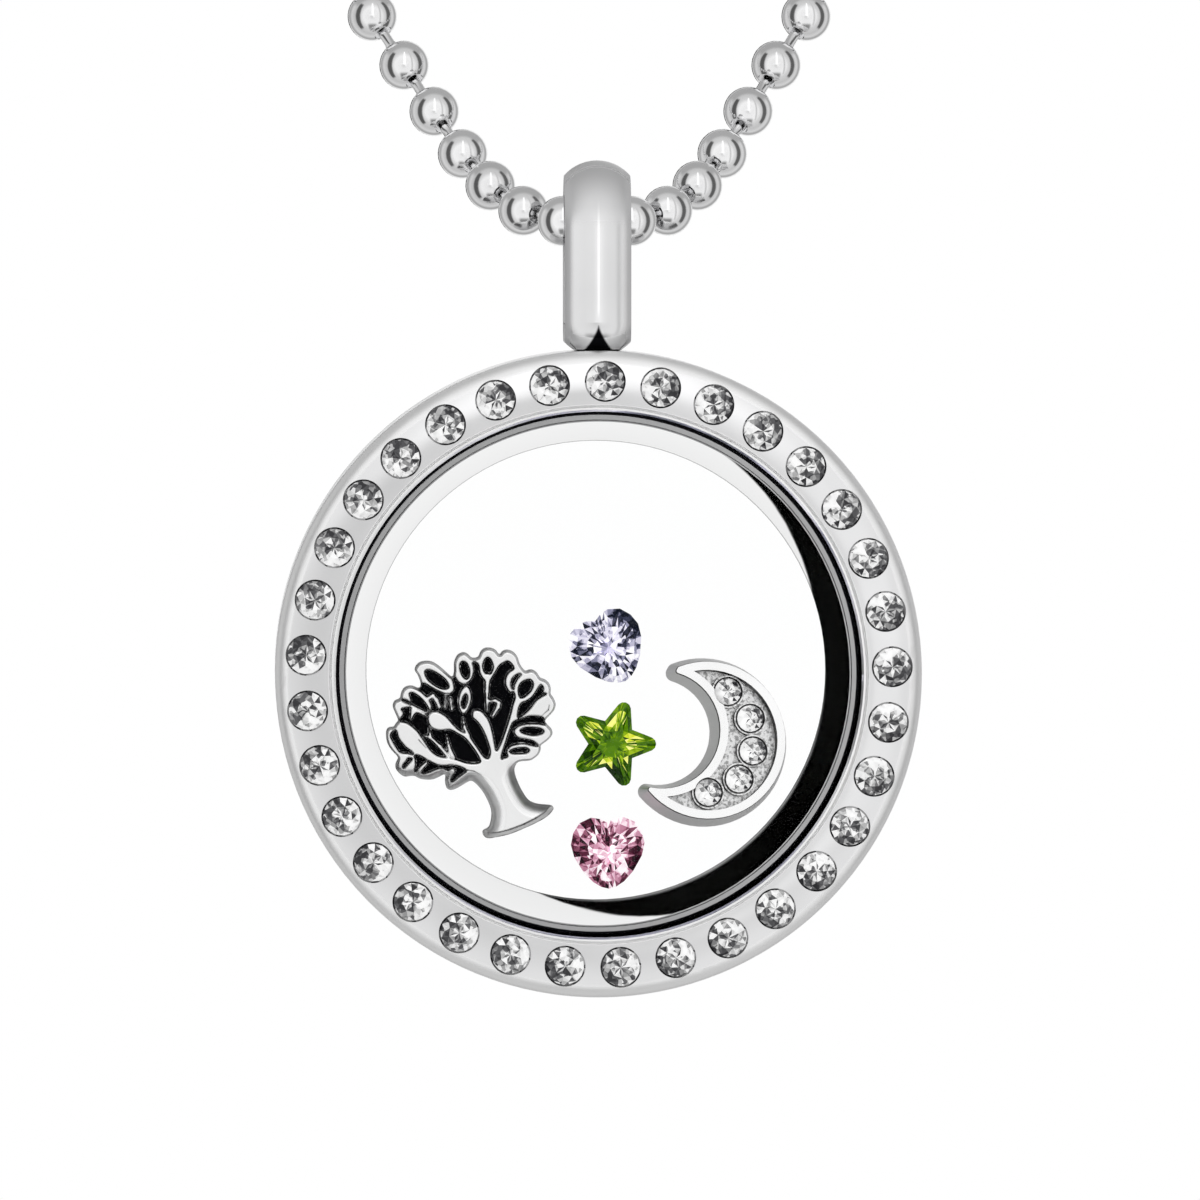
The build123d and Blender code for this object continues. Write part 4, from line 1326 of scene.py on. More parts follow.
@dataclass
class BezelCrystals:
    """The ring of round stones set flush in the bezel."""

    stone: RoundBrilliant = RoundBrilliant(0.88, 0.2, 0.66)
    finish: Finish = CutGlass("clear_crystal", CLEAR_TONES, painted_shards=0.58)
    count: int = 33
    pitch_radius: float = 13.6
    first_turn: float = 1.2
    front_y: float = -3.5
    seed: int = 100

    def build(self) -> None:
        """Build the stones as one piece: each is turned a about the axis, at (R sin a, R cos a)."""
        points, faces, kinds = self.stone.facets()
        middles = facet_middles(points, faces, self.stone.radius)
        shell = Shell()
        turns = np.radians(self.first_turn + 360.0 / self.count * np.arange(self.count))
        for k, turn in enumerate(turns):
            middle = (self.pitch_radius * sin(turn), self.front_y, self.pitch_radius * cos(turn))
            moved = points @ turn_about(1, turn).T + middle + LOCKET_CENTRE
            shell.add(moved, faces, self.stone.tones(kinds, middles, self.seed + k))
        nodes = [f"crystal_{k + 1:02d}" for k in range(self.count)]
        shell.piece("bezel_crystals", Body.LID, self.finish.material(), nodes)


def turn_about(axis: int, angle: float) -> np.ndarray:
    """Matrix that turns about one axis: cos a on the other two, and sin a between them.

    Args:
        axis: 0, 1 or 2 for X, Y or Z.
        angle: The angle in radians.

    Returns:
        The 3 by 3 matrix.
    """
    matrix = np.eye(3)
    first, second = (axis + 1) % 3, (axis + 2) % 3
    matrix[first, first] = matrix[second, second] = cos(angle)
    matrix[first, second], matrix[second, first] = -sin(angle), sin(angle)
    return matrix


@dataclass
class MoonCharm:
    """Crescent tray and the five stones standing in it, placed in picture points."""

    stone: RoundBrilliant = RoundBrilliant(0.62, 0.15, 0.5, 0.14)
    finish: Finish = CutGlass("moon_crystal", CLEAR_TONES, painted_glow=0.4, painted_shards=0.5, cell_scale=5200.0)
    seat_top: float = 1.15
    seed: int = 300
    stones: tuple[Pair, ...] = (
        (725.6, 694.9),
        (748.2, 721.7),
        (750.7, 754.3),
        (736.5, 782.6),
        (705.2, 796.3),
    )

    def build(self) -> None:
        """Build the stones as one piece and dress the tray.

        The stones are laid flat, set out about the tray's middle, and stood up with the tray.
        """
        points, faces, kinds = self.stone.facets()
        middles = facet_middles(points, faces, self.stone.radius)
        middle = picture_points(np.array(MOON_CENTRE))
        tip = radians(MOON_TIP)
        stand = turn_about(0, -tip) @ turn_about(2, tip) @ turn_about(0, pi / 2.0)
        lay = turn_about(0, -pi / 2.0)
        seats = []
        shell = Shell()
        for k, place in enumerate(picture_points(np.array(self.stones))):
            flat = (points - (0.0, self.seat_top, 0.0)) @ lay.T + (*(place - middle), 0.0)
            local = flat @ stand.T + (middle[0], MOON_BACK, middle[1])
            shell.add(local + LOCKET_CENTRE, faces, self.stone.tones(kinds, middles, self.seed + k))
            seats.append((float(local[:, 0].mean()), float(local[:, 2].mean())))
        nodes = [f"moon_stone_{k + 1}" for k in range(len(self.stones))]
        shell.piece("moon_crystals", Body.LOCKET, self.finish.material(), nodes)
        dress(MoonSteel("moon_metal", seats=tuple(seats)).material(), "moon_charm")


@dataclass(frozen=True)
class FancyStone:
    """Loose cut stone: a pointed pavilion, a crown of slanting facets and a flat table.

    A table ring is its share of the outline and how far its corners stray. Levels and spreads are
    the mean painted tone of each row of facets, from the table's middle to the back, and its
    spread.
    """

    name: str
    slot: Slot
    stops: Stops
    centre: Pair
    size: float
    turn: float
    crown: float
    depth: float
    clusters: tuple[Cluster, ...]
    seed: int = 1
    gloss: float = 0.12
    painted_glow: float = 0.45
    painted_shards: float = 0.55
    cell_scale: float = 3600.0
    table_round: float = 0.0
    round_radius: float = 0.8
    table_rings: tuple[Pair, ...] = ((0.2, 0.07), (0.38, 0.05))
    table_share: float = 0.55
    crown_share: float = 0.8
    crown_fall: float = 0.55
    back_y: float = 1.75
    girdle: float = 0.12
    row_levels: tuple[float, ...] = (0.76, 0.72, 0.62, 0.62, 0.62, 0.6, 0.3)
    row_spreads: tuple[float, ...] = (0.08, 0.26, 0.36, 0.38, 0.34, 0.1, 0.0)
    tone_seed: int = 50
    alike_share: float = 0.45
    cluster_spread: Pair = (0.3, 1.6)
    half_outline: tuple[float, ...] = (
        0.0, 0.8, 0.2, 0.9, 0.44, 0.94, 0.75, 0.8, 0.93, 0.53, 1.0, 0.22, 0.92, -0.12, 0.67, -0.54,
        0.42, -0.81, 0.2, -0.95, 0.0, -1.0,
    )

    def outline(self) -> np.ndarray:
        """Corners across and up, in half widths, before the stone is turned."""
        half = np.reshape(self.half_outline, (-1, 2))
        return np.vstack((half, half[-2:0:-1] * (-1.0, 1.0)))

    def rings(self, outline: np.ndarray) -> list[tuple[np.ndarray, float]]:
        """Rings of corners, each at a share of the outline.

        Args:
            outline: Corners of the girdle, across and up.

        Returns:
            Corners and depth of each ring, from the middle of the table to the girdle's back.
        """
        chance = np.random.default_rng(self.seed)
        edge = self.back_y - self.depth
        top, middle = edge - self.crown, edge - self.crown * self.crown_fall
        circle = outline / np.linalg.norm(outline, axis=1, keepdims=True) * self.round_radius
        plan = outline + (circle - outline) * self.table_round
        rings = []
        for share, stray in self.table_rings:
            shift = chance.uniform(-stray, stray, outline.shape) * (1.0 - self.table_round)
            rings.append((plan * share + shift, top))
        rings.append((outline * self.table_share, top))
        rings.append((outline * self.crown_share, middle))
        return [*rings, (outline, edge), (outline, edge + self.girdle)]

    def facets(self) -> tuple[np.ndarray, np.ndarray, np.ndarray]:
        """Facets of the stone, which faces -Y with its middle at zero.

        Between rings each span is split in two triangles, one way and the other in turn.

        Returns:
            Corners, faces as rows of 4 (a triangle repeats its last corner) and the row of each.
        """
        corners = self.outline()
        halfway = (corners + np.roll(corners, -1, axis=0)) / 2.0
        rings = self.rings(np.stack((corners, halfway), axis=1).reshape(-1, 2))
        count, spans = 2 * len(corners), len(rings) - 1
        depths = [np.full(count, depth / self.size) for _, depth in rings]
        flat = [np.column_stack((r[:, 0], y, r[:, 1])) for (r, _), y in zip(rings, depths)]
        poles = np.array(((0.0, rings[0][1], 0.0), (0.0, self.back_y, 0.0))) / self.size
        k = np.arange(count)
        after, front = (k + 1) % count, np.full(count, count * len(rings))
        faces = [triangles(front, after, k)]
        for row in range(spans):
            here, below = row * count, (row + 1) * count
            odd = ((k + row) % 2 == 0)[:, None]
            first = triangles(here + k, here + after, below + k)
            second = triangles(here + after, below + after, below + k)
            third = triangles(here + k, here + after, below + after)
            fourth = triangles(here + k, below + after, below + k)
            faces += [np.where(odd, first, third), np.where(odd, second, fourth)]
        last = spans * count
        faces.append(triangles(last + k, last + after, front + 1))
        rows = np.repeat(np.arange(spans + 2), (count, *[2 * count] * spans, count))
        return np.vstack((*flat, poles)) * self.size, np.vstack(faces), rows

    def build(self) -> None:
        """Build the stone in place of its node."""
        points, faces, rows = self.facets()
        across, up = picture_points(np.array(self.centre))
        spin = turn_about(1, -radians(self.turn))
        shell = Shell()
        moved = points @ spin.T + (across, 0.0, up) + LOCKET_CENTRE
        shell.add(moved, faces, self.tones(points, faces, rows))
        looks = (self.stops, self.gloss, self.painted_glow, self.painted_shards, self.cell_scale)
        material = CutGlass(self.name + "_glass", *looks).material()
        shell.piece(self.name + "_cut", Body.LOCKET, material, [self.name])

    def tones(self, points: np.ndarray, faces: np.ndarray, rows: np.ndarray) -> np.ndarray:
        """Tone of each facet, a painted reflection: seeded chance, pushed darker or lighter near
        each cluster.

        Args:
            points: The stone's corners.
            faces: Its facets as rows of corners.
            rows: Ring that each facet is in, from the middle of the table to the point behind.

        Returns:
            One tone for each facet.
        """
        chance = np.random.default_rng(self.seed + self.tone_seed)
        middles = facet_middles(points, faces, self.size)
        spread = np.array(self.row_spreads)[rows]
        tone = np.array(self.row_levels)[rows] + spread * chance.normal(0.0, 1.0, len(faces))
        alike = (chance.random(len(faces) - 1) < self.alike_share) & (rows[1:] == rows[:-1])
        tone[1:][alike] = tone[:-1][alike]
        for patch in self.clusters:
            weight = np.clip(1.0 - patch.gap(middles) / patch.reach, 0.0, 1.0)
            tone += patch.change * weight * chance.uniform(*self.cluster_spread, len(faces))
        return np.clip(tone, 0.0, 1.0)


@dataclass(frozen=True)
class FancyStar(FancyStone):
    """Five-point star with round tips and a ridge along each arm."""

    tip_round: float = 0.162
    tip_turns: tuple[float, ...] = (66.0, 33.0, 0.0, -33.0, -66.0)
    valley: float = 0.554
    painted_shards: float = 0.16
    table_round: float = 0.8
    row_levels: tuple[float, ...] = (0.4, 0.39, 0.48, 0.6, 0.36, 0.3, 0.3)
    row_spreads: tuple[float, ...] = (0.0, 0.1, 0.28, 0.34, 0.1, 0.05, 0.0)

    def outline(self) -> np.ndarray:
        """Corners in tip radii: five on each round tip, then the valley.

        Returns:
            Rows of across and up.
        """
        rows = []
        for tip in np.radians(72.0 * np.array((0, 4, 3, 2, 1))):
            turn = tip + np.radians(self.tip_turns)
            out = np.array((cos(tip), sin(tip))) * (1.0 - self.tip_round)
            rows.append(out + self.tip_round * np.stack((np.cos(turn), np.sin(turn)), axis=1))
            hollow = tip - radians(36.0)
            rows.append(self.valley * np.array(((cos(hollow), sin(hollow)),)))
        return np.vstack(rows)


@dataclass
class LooseStones:
    """The hearts and the star that lie loose behind the glass, placed in picture points."""

    stones: tuple[FancyStone, ...] = (
        FancyStone(
            name="heart_lavender",
            slot=Slot.LAVENDER,
            stops=LAVENDER_TONES,
            centre=(609.0, 648.5),
            size=1.74,
            turn=27.0,
            crown=0.5,
            depth=1.15,
            clusters=(
                Cluster(0.86, 0.25, 0.42, -1.9),
                Cluster(0.62, 0.62, 0.3, -1.1),
                Cluster(0.24, -0.05, 0.4, -0.06),
                Cluster(-0.6, -0.3, 0.4, -1.3),
                Cluster(-0.3, 0.4, 0.35, -0.45),
                Cluster(-0.05, -0.7, 0.3, 0.2),
            ),
        ),
        FancyStone(
            name="heart_pink",
            slot=Slot.PINK,
            stops=PINK_TONES,
            centre=(608.3, 853.0),
            size=1.72,
            turn=1.5,
            crown=0.5,
            depth=1.15,
            clusters=(
                Cluster(-0.8, 0.05, 0.4, -0.75),
                Cluster(0.75, -0.2, 0.45, -0.95),
                Cluster(0.12, -0.15, 0.4, 0.45),
                Cluster(-0.05, 0.4, 0.38, -0.5),
                Cluster(-0.5, 0.7, 0.3, -0.4),
                Cluster(0.0, -0.85, 0.3, -0.2),
            ),
            seed=9,
        ),
        FancyStar(
            name="star_green",
            slot=Slot.GREEN,
            stops=GREEN_TONES,
            centre=(613.0, 745.0),
            size=2.04,
            turn=0.0,
            crown=0.45,
            depth=1.0,
            clusters=(
                Cluster(0.42, 0.08, 0.24, 0.45),
                Cluster(0.12, -0.64, 0.3, -1.0),
                Cluster(-0.5, -0.24, 0.26, -1.1),
            ),
            seed=4,
        ),
    )

    def build(self) -> None:
        """Build each stone."""
        for stone in self.stones:
            stone.build()


def closed_curve(corners: np.ndarray, parts: int) -> np.ndarray:
    """Catmull-Rom curve round a closed outline: cubics blend each span's four nearest corners.

    Args:
        corners: Rows of across and up.
        parts: Points to make for each corner.

    Returns:
        Array of the curve's points.
    """
    a, b, c, d = (np.roll(corners, shift, axis=0)[:, None] for shift in (1, 0, -1, -2))
    t = (np.arange(parts) / parts)[None, :, None]
    square, cube = 2 * a - 5 * b + 4 * c - d, 3 * b - a - 3 * c + d
    return 0.5 * (2 * b + (c - a) * t + square * t**2 + cube * t**3).reshape(-1, 2)


def line_distance(
    place: np.ndarray, start: np.ndarray, finish: np.ndarray
) -> tuple[np.ndarray, np.ndarray]:
    """Distance to a straight piece: |p - a - t (b - a)|, t = (p - a).(b - a) / |b - a|^2 in 0 to 1.

    Args:
        place: Points, their last axis across and up.
        start: One end of the piece.
        finish: Its other end.

    Returns:
        The distances, and the share t of the way along.
    """
    run = finish - start
    share = np.clip((place - start) @ run / (run @ run), 0.0, 1.0)
    return np.linalg.norm(place - start - share[..., None] * run, axis=-1), share


def depth_inside(place: np.ndarray, outline: np.ndarray) -> np.ndarray:
    """Distance from a closed outline, positive inside it and negative outside.

    A point is inside when a level line from it crosses the outline an odd number of times. Points
    far from the outline's box are given the distance -MARGIN without a closer look.

    Args:
        place: Points, their last axis across and up.
        outline: Corners of the outline.

    Returns:
        One distance for each point.
    """
    result = np.full(place.shape[:-1], -MARGIN)
    low, high = outline.min(axis=0) - MARGIN, outline.max(axis=0) + MARGIN
    near = np.all((place > low) & (place < high), axis=-1)
    some = place[near]
    nearest = np.full(len(some), np.inf)
    odd = np.zeros(len(some), dtype=bool)
    for start, finish in zip(outline, np.roll(outline, -1, axis=0)):
        nearest = np.minimum(nearest, line_distance(some, start, finish)[0])
        spans = (start[1] > some[:, 1]) != (finish[1] > some[:, 1])
        rise = finish[1] - start[1] if finish[1] != start[1] else 1.0
        crossing = start[0] + (some[:, 1] - start[1]) * (finish[0] - start[0]) / rise
        odd ^= spans & (some[:, 0] < crossing)
    result[near] = np.where(odd, nearest, -nearest)
    return result


def soft_larger(first: np.ndarray, second: np.ndarray, blend: float) -> np.ndarray:
    """Larger of two with a fillet: max(a, b) + h^2 k / 4, where h = max(1 - |a - b| / k, 0)."""
    close = np.maximum(1.0 - np.abs(first - second) / blend, 0.0)
    return np.maximum(first, second) + close**2 * blend / 4.0


def eased(value: np.ndarray, low: float, high: float) -> np.ndarray:
    """Smooth step t^2 (3 - 2 t) with t the share of the way from low to high."""
    t = np.clip((value - low) / (high - low), 0.0, 1.0)
    return t * t * (3.0 - 2.0 * t)


def quarter_round(share: np.ndarray) -> np.ndarray:
    """Rise of a quarter circle: (1 - (1 - t)^2)^(1/2)."""
    return np.sqrt(1.0 - (1.0 - np.clip(share, 0.0, 1.0)) ** 2)


def shaded(distance: np.ndarray, edge: float, start: float, end: float) -> np.ndarray:
    """Tone that rises away from an edge: e + (1 - e) s, with e the edge's and s the smooth step."""
    return edge + (1.0 - edge) * eased(distance, start, end)


@dataclass
class TreeCharm:
    """Cast tree: rounded leaves, branches and trunk that rise from a blackened ground.

    Its front is one surface of depths over a fine grid of picture points, drawn from distances to
    the outlines below. An outline is across and down in turn, in picture points, and so are the
    widths of rounding. A twig or a score is from across, from down, to across, to down, from
    width, to width. A shade is painted shade: an edge's tone, and the distances where it starts and
    ends to rise to 1.
    """

    finish: Finish = AntiqueSteel("tree_metal")
    cell: float = 0.75
    curve_parts: int = 3
    least_slope: float = 0.25
    back_y: float = 1.86
    edge_y: float = 1.3
    ground_y: float = 1.06
    height: float = 0.5
    rim_round: float = 2.2
    edge_round: float = 2.6
    trunk_round: float = 15.0
    trunk_down: Pair = (760.0, 782.0)
    base_reach: float = 1.0
    base_band: float = 5.4
    fillet: float = 2.2
    crease: float = 75.0
    back_tone: float = 0.6
    trunk_tone_down: Pair = (758.0, 775.0)
    trunk_top: float = 770.0
    trunk_slant: float = 0.36
    trunk_middle: Pair = (494.0, 500.0)
    # Painted shade at the crown's edges, the trunk's left and right sides and the rim.
    crown_shade: tuple[float, float, float] = (0.6, 1.0, 2.6)
    left_shade: tuple[float, float, float] = (0.68, 6.0, 13.0)
    right_shade: tuple[float, float, float] = (0.34, 4.0, 10.0)
    rim_shade: tuple[float, float, float] = (0.55, 0.1, 1.2)
    base_tone: float = 0.8
    base_edge: Pair = (4.6, 5.2)
    score_dark: float = 0.75
    score_edge: Pair = (-0.5, 0.4)
    ground_edge: Pair = (-0.5, 0.15)
    outline: tuple[float, ...] = (
        415, 671, 417, 666, 421, 663, 427, 662, 433, 663, 438, 666, 443, 670, 448, 674.5, 451.5,
        677.5, 453.5, 677, 454.5, 672, 454.5, 664, 457, 657.5, 460.5, 654.5, 465, 653.5, 469, 655.8,
        472, 658.7, 476, 659, 479, 657.5, 481, 653, 484, 650, 488, 648.8, 493, 649.5, 496.5, 651.5,
        500, 655.5, 503, 652.5, 507, 651, 512, 652, 516, 655, 518.5, 659, 520, 664, 523, 669, 526,
        672, 530, 671, 534, 671.3, 538, 674.5, 541, 679, 546, 681, 550, 685, 551.5, 690, 551.3, 695,
        554, 699, 556.3, 705, 555, 711, 551, 716, 547, 720, 546, 723, 549, 727, 552.5, 731, 552.8,
        736, 549, 741, 545, 744, 541.5, 747, 541.3, 751, 539, 756, 535, 759.5, 530, 762, 520, 763,
        516.5, 766, 515, 771, 516, 777, 519, 785, 523, 793, 528, 800.5, 533, 804, 540, 806, 551,
        807, 554, 809, 553.5, 812, 548, 818, 538, 824, 525, 830, 510, 836, 495, 839.3, 489, 840,
        485, 838.5, 483, 835, 484, 832, 489, 829, 491, 824, 492, 817, 491.5, 811, 489, 804, 485,
        796, 480, 789, 475, 784, 471, 782.3, 467, 784, 462, 787, 456, 790.3, 450.5, 791.5, 446.8,
        789, 445.5, 783, 445.8, 777.5, 444, 776, 439, 778.5, 433, 780.8, 426, 781, 420, 780, 415,
        777.5, 411, 777.3, 405, 778, 400, 775, 396, 770, 396, 765, 398, 760.5, 397.5, 757.5, 391.5,
        751, 387.5, 744, 386.3, 737, 387, 731, 390, 728.5, 394, 728, 396, 725, 398.3, 722, 397,
        717.5, 394.5, 712, 393, 707, 395, 702, 400, 699.5, 401.5, 694, 404, 689.5, 408, 687.2, 413,
        687, 418, 689, 420.5, 688.3, 421, 685, 420, 681, 418, 676,
    )
    base: tuple[float, ...] = (
        483, 835, 485, 838.5, 489, 840, 495, 839.3, 510, 836, 525, 830, 538, 824, 548, 818, 553.5,
        812,
    )
    ground: tuple[float, ...] = (
        455.5, 678, 458, 682.5, 463, 685.3, 468, 684, 472.5, 679, 474.5, 672, 474, 666, 473.5,
        663.5, 477, 664, 479, 667.5, 479.5, 673, 482, 678.5, 486, 681.5, 491, 680.5, 494, 676, 497,
        671, 500, 666.5, 503.5, 664, 507.5, 662.3, 511, 664.5, 513.5, 669, 509.5, 672, 506, 677,
        505, 684, 507.5, 690.5, 511, 694, 513.3, 692.5, 514.7, 698, 513, 704, 511.3, 711, 508.5,
        721, 505, 732, 501, 743, 497, 750.7, 495.5, 745, 493.7, 735, 491.5, 726, 489, 720, 485,
        714.5, 481, 711, 477, 710, 473.5, 711, 472, 715, 473, 719, 477, 722.5, 481, 728, 485, 736,
        488.3, 745, 490, 752, 489, 757.5, 486.5, 758.5, 483, 755.5, 478, 748, 472.5, 740, 468.5,
        733.5, 463.5, 732.5, 458, 729, 452, 722.5, 447, 717, 441, 713, 436, 711.5, 431, 712.5,
        428.3, 716, 427.5, 721, 430, 727, 434, 730, 440, 731.7, 447, 731, 452, 731.5, 458, 735, 464,
        738.5, 469, 744, 475, 752, 479, 759, 479.7, 762.5, 473, 763.7, 465, 762.5, 458, 760, 450,
        758, 443, 757.3, 437, 755.5, 431, 750.5, 426.5, 744, 422.5, 738, 418, 731.5, 412, 726, 406,
        722.5, 401, 721.7, 400, 720.3, 403, 717, 404, 713, 402, 710, 405, 709, 410, 708.5, 416, 711,
        421, 713, 426, 714.5, 427.8, 713, 430, 711.5, 432, 709, 432, 705.5, 429, 700, 425.5, 695.5,
        421, 691.5, 419, 690, 421.3, 687.5, 422.5, 684.5, 425.5, 684.8, 431, 688, 438, 691.7, 445,
        694.8, 450, 695, 454, 692, 455, 688, 454, 683, 452.7, 680, 454, 678.8,
    )
    hollows: tuple[tuple[float, ...], ...] = (
        (
            426, 671.5, 430, 671, 436, 673.5, 442, 677.5, 446.5, 682, 448.5, 687, 446, 689, 441,
            688.5, 435, 685.5, 429, 680.5, 426, 675,
        ),
        (
            461, 664, 463, 662.5, 466, 663.5, 468.5, 668, 469.5, 673, 468.5, 678, 466, 679, 463,
            676, 461, 671, 460.5, 667,
        ),
        (485, 661, 488, 658.5, 491, 661, 493, 667, 492, 672, 488.5, 675.5, 485, 672, 483.5, 667),
        (
            521.5, 730.5, 526, 728.7, 533, 728.5, 540, 729.5, 543.5, 731.8, 541, 734.5, 534, 735.7,
            526, 734.3, 522, 732.5,
        ),
        (510.5, 752, 514, 750, 520, 749, 526, 749, 529, 751, 526, 753.5, 519, 754, 513, 754),
        (
            519.5, 688, 522, 683.5, 527, 681, 531, 681, 533, 685, 531, 691, 526, 696, 521.5, 698,
            519.5, 694,
        ),
        (
            511.5, 684, 513, 679, 517, 675.5, 521, 675, 518.5, 678, 516, 682, 514, 687, 513.5, 690,
            512, 688,
        ),
        (
            538.5, 689.5, 541, 686, 543.2, 689, 542.7, 693.5, 546, 694.5, 541.5, 697, 536, 701,
            531.5, 707, 526, 713, 518.8, 718, 519, 711, 521.5, 704.5, 527, 702, 532, 698.5, 536,
            693.5,
        ),
        (
            514.5, 722.5, 521, 720, 529, 717.5, 538, 717.5, 543, 718.7, 544.5, 722, 545, 725, 540,
            724.3, 531, 724, 523, 725, 517, 727.5, 514, 731.5, 515, 736, 519, 739, 526, 740.3, 533,
            742, 538, 746.3, 532, 745.8, 526, 744.3, 519, 744.2, 512, 745.8, 508, 749, 506.5, 753,
            507.5, 757, 504, 758.3, 502, 759, 503, 753, 506, 744, 509, 735, 511.5, 727,
        ),
        (
            410, 694.5, 413.5, 694, 419, 697.5, 424, 702.5, 428, 708.5, 428.5, 711, 426, 711.5, 422,
            709.5, 415, 706, 411.5, 703.5, 411.5, 699.5,
        ),
        (402, 699.9, 406, 700.5, 410, 702.5, 411.5, 704.7, 408, 704, 404, 702),
        (
            394.5, 731.3, 391, 736, 393.5, 742, 397, 748, 401, 752.6, 408, 753.6, 413, 754.8, 411,
            752, 406, 748.5, 401.5, 743.5, 398, 738, 396.5, 732.5,
        ),
        (
            415, 756.5, 419, 756.7, 425, 759.8, 431, 763.2, 438, 766.2, 445, 767, 452, 766.3, 460,
            768, 466, 771.3, 462, 775.2, 457, 779, 453, 782.5, 451, 781.2, 452.5, 777.5, 455.5,
            773.5, 455.5, 769.8, 452.5, 768.5, 449.5, 770, 447.5, 771, 443, 768.6, 437, 769.3, 431,
            772, 425, 774, 422, 773.3, 424, 769.5, 427.5, 765.5, 428.3, 763, 426, 762.3, 421.5,
            765.5, 418, 769.5, 416, 772.5, 415, 771, 416.3, 765, 416, 760.5,
        ),
        (
            403, 767.8, 404, 765, 406.5, 762, 408, 759.4, 411, 759.2, 411.5, 760.5, 409, 763.5, 406,
            766.8, 404, 768.5,
        ),
    )
    islands: tuple[tuple[float, ...], ...] = (
        (
            458.3, 701, 459.5, 694.5, 462.5, 688.5, 467, 686.2, 470.5, 689.5, 472, 696, 471.5, 703,
            469, 709, 465.5, 714.5, 462, 714.3, 459.3, 709.5,
        ),
        (
            410.5, 709, 413, 706.3, 418, 709.5, 424, 712.5, 427, 716, 425, 717.5, 420, 714.8, 416,
            714.5, 413.5, 718, 411.5, 720.5, 409.7, 719.5, 410.3, 714,
        ),
        (449.5, 757.5, 446.8, 746, 446, 737.5, 447.5, 736, 449.5, 740.5, 452, 748.5, 456.5, 759),
    )
    island_hollows: tuple[tuple[float, ...], ...] = (
        (463.5, 698, 466, 695, 467.6, 698, 467, 703, 465, 708, 463, 708, 462, 704),
    )
    twigs: tuple[tuple[float, ...], ...] = (
        (445.5, 698, 445.3, 708.5, 3.2, 3),
        (450.8, 699.5, 452, 710, 3.8, 3.8),
        (428.5, 699, 433, 696.3, 5, 4.8),
        (433, 696.3, 436.7, 700.5, 4.8, 4.6),
        (436.7, 700.5, 439.5, 707.5, 4.6, 4.8),
        (488, 677, 487.3, 692, 7, 4.6),
        (487.3, 692, 487.5, 710.5, 4.6, 3.8),
        (488, 701.8, 495.5, 701.2, 3.6, 4.2),
        (495.5, 701.2, 499.3, 703.5, 4.2, 4.4),
        (499.3, 703.5, 498.5, 707.5, 4.4, 4.6),
        (498.5, 707.5, 493.2, 716.5, 4.6, 3.8),
        (449, 758, 440, 747, 5, 4.2),
        (440, 747, 430.5, 738, 4.2, 4),
        (430.5, 738, 429.7, 729.8, 4, 2.6),
        (430, 737.5, 425.8, 736.8, 3.6, 2.8),
        (468.5, 736, 464.8, 728, 4.6, 3.8),
        (464.8, 728, 463.3, 719.5, 3.8, 3.2),
    )
    scores: tuple[tuple[float, ...], ...] = (
        (463, 771.6, 468, 770.8, 0.5, 1.3),
        (468, 770.8, 474, 771.8, 1.3, 1.3),
        (474, 771.8, 481.5, 775.4, 1.3, 0.3),
        (549.6, 705.5, 548.6, 710.5, 0.8, 1.2),
        (548.6, 710.5, 541.5, 716.8, 1.2, 0.4),
        (419, 740.5, 426, 748.5, 1.4, 0.6),
        (488, 834.2, 500, 833, 0.8, 1.2),
        (500, 833, 511, 830, 1.2, 1.6),
        (511, 830, 525, 824.8, 1.6, 1.8),
        (525, 824.8, 536, 819, 1.8, 1.8),
        (536, 819, 546.5, 812.2, 1.8, 0.8),
    )

    def curve(self, corners: tuple[float, ...]) -> np.ndarray:
        """Outline of a table, made smooth."""
        return closed_curve(np.reshape(corners, (-1, 2)), self.curve_parts)

    def twig(self, place: np.ndarray, row: np.ndarray) -> np.ndarray:
        """Distance inside a twig: half its width at the nearest place, less the distance."""
        gap, share = line_distance(place, row[:2], row[2:4])
        return (row[4] + (row[5] - row[4]) * share) / 2.0 - gap

    def grid(self) -> tuple[np.ndarray, np.ndarray]:
        """Grid of picture points drawn in to the tree's outline, and its faces.

        Corners just outside are moved on to the outline, p - s grad s with s their distance.

        Returns:
            Rows by columns by 2 of points, and faces as rows of four numbers.
        """
        curve = self.curve(self.outline)
        low, high = curve.min(axis=0) - self.cell, curve.max(axis=0) + 2.0 * self.cell
        across, down = (np.arange(low[k], high[k], self.cell) for k in (0, 1))
        place = np.stack(np.meshgrid(across, down), axis=-1)
        inner = depth_inside(place, curve)
        faces = grid_faces(np.arange(inner.size).reshape(inner.shape))
        faces = faces[(inner.ravel()[faces] > 0.0).any(axis=1)]
        slope_down, slope_across = np.gradient(inner, self.cell)
        slope = np.stack((slope_across, slope_down), axis=-1)
        steepness = np.maximum((slope**2).sum(axis=-1), self.least_slope)
        moved = place - (inner / steepness)[..., None] * slope
        return np.where((inner < 0.0)[..., None], moved, place), faces

    def raised(self, place: np.ndarray) -> np.ndarray:
        """Distance inside the raised work, negative over the blackened ground.

        Args:
            place: Picture points.

        Returns:
            One distance for each point.
        """
        dark = depth_inside(place, self.curve(self.ground))
        for hollow in self.hollows:
            dark = np.maximum(dark, depth_inside(place, self.curve(hollow)))
        raised = -dark
        for island in self.islands:
            raised = np.maximum(raised, depth_inside(place, self.curve(island)))
        for row in np.array(self.twigs):
            raised = soft_larger(raised, self.twig(place, row), self.fillet)
        for hollow in self.island_hollows:
            raised = np.minimum(raised, -depth_inside(place, self.curve(hollow)))
        return raised

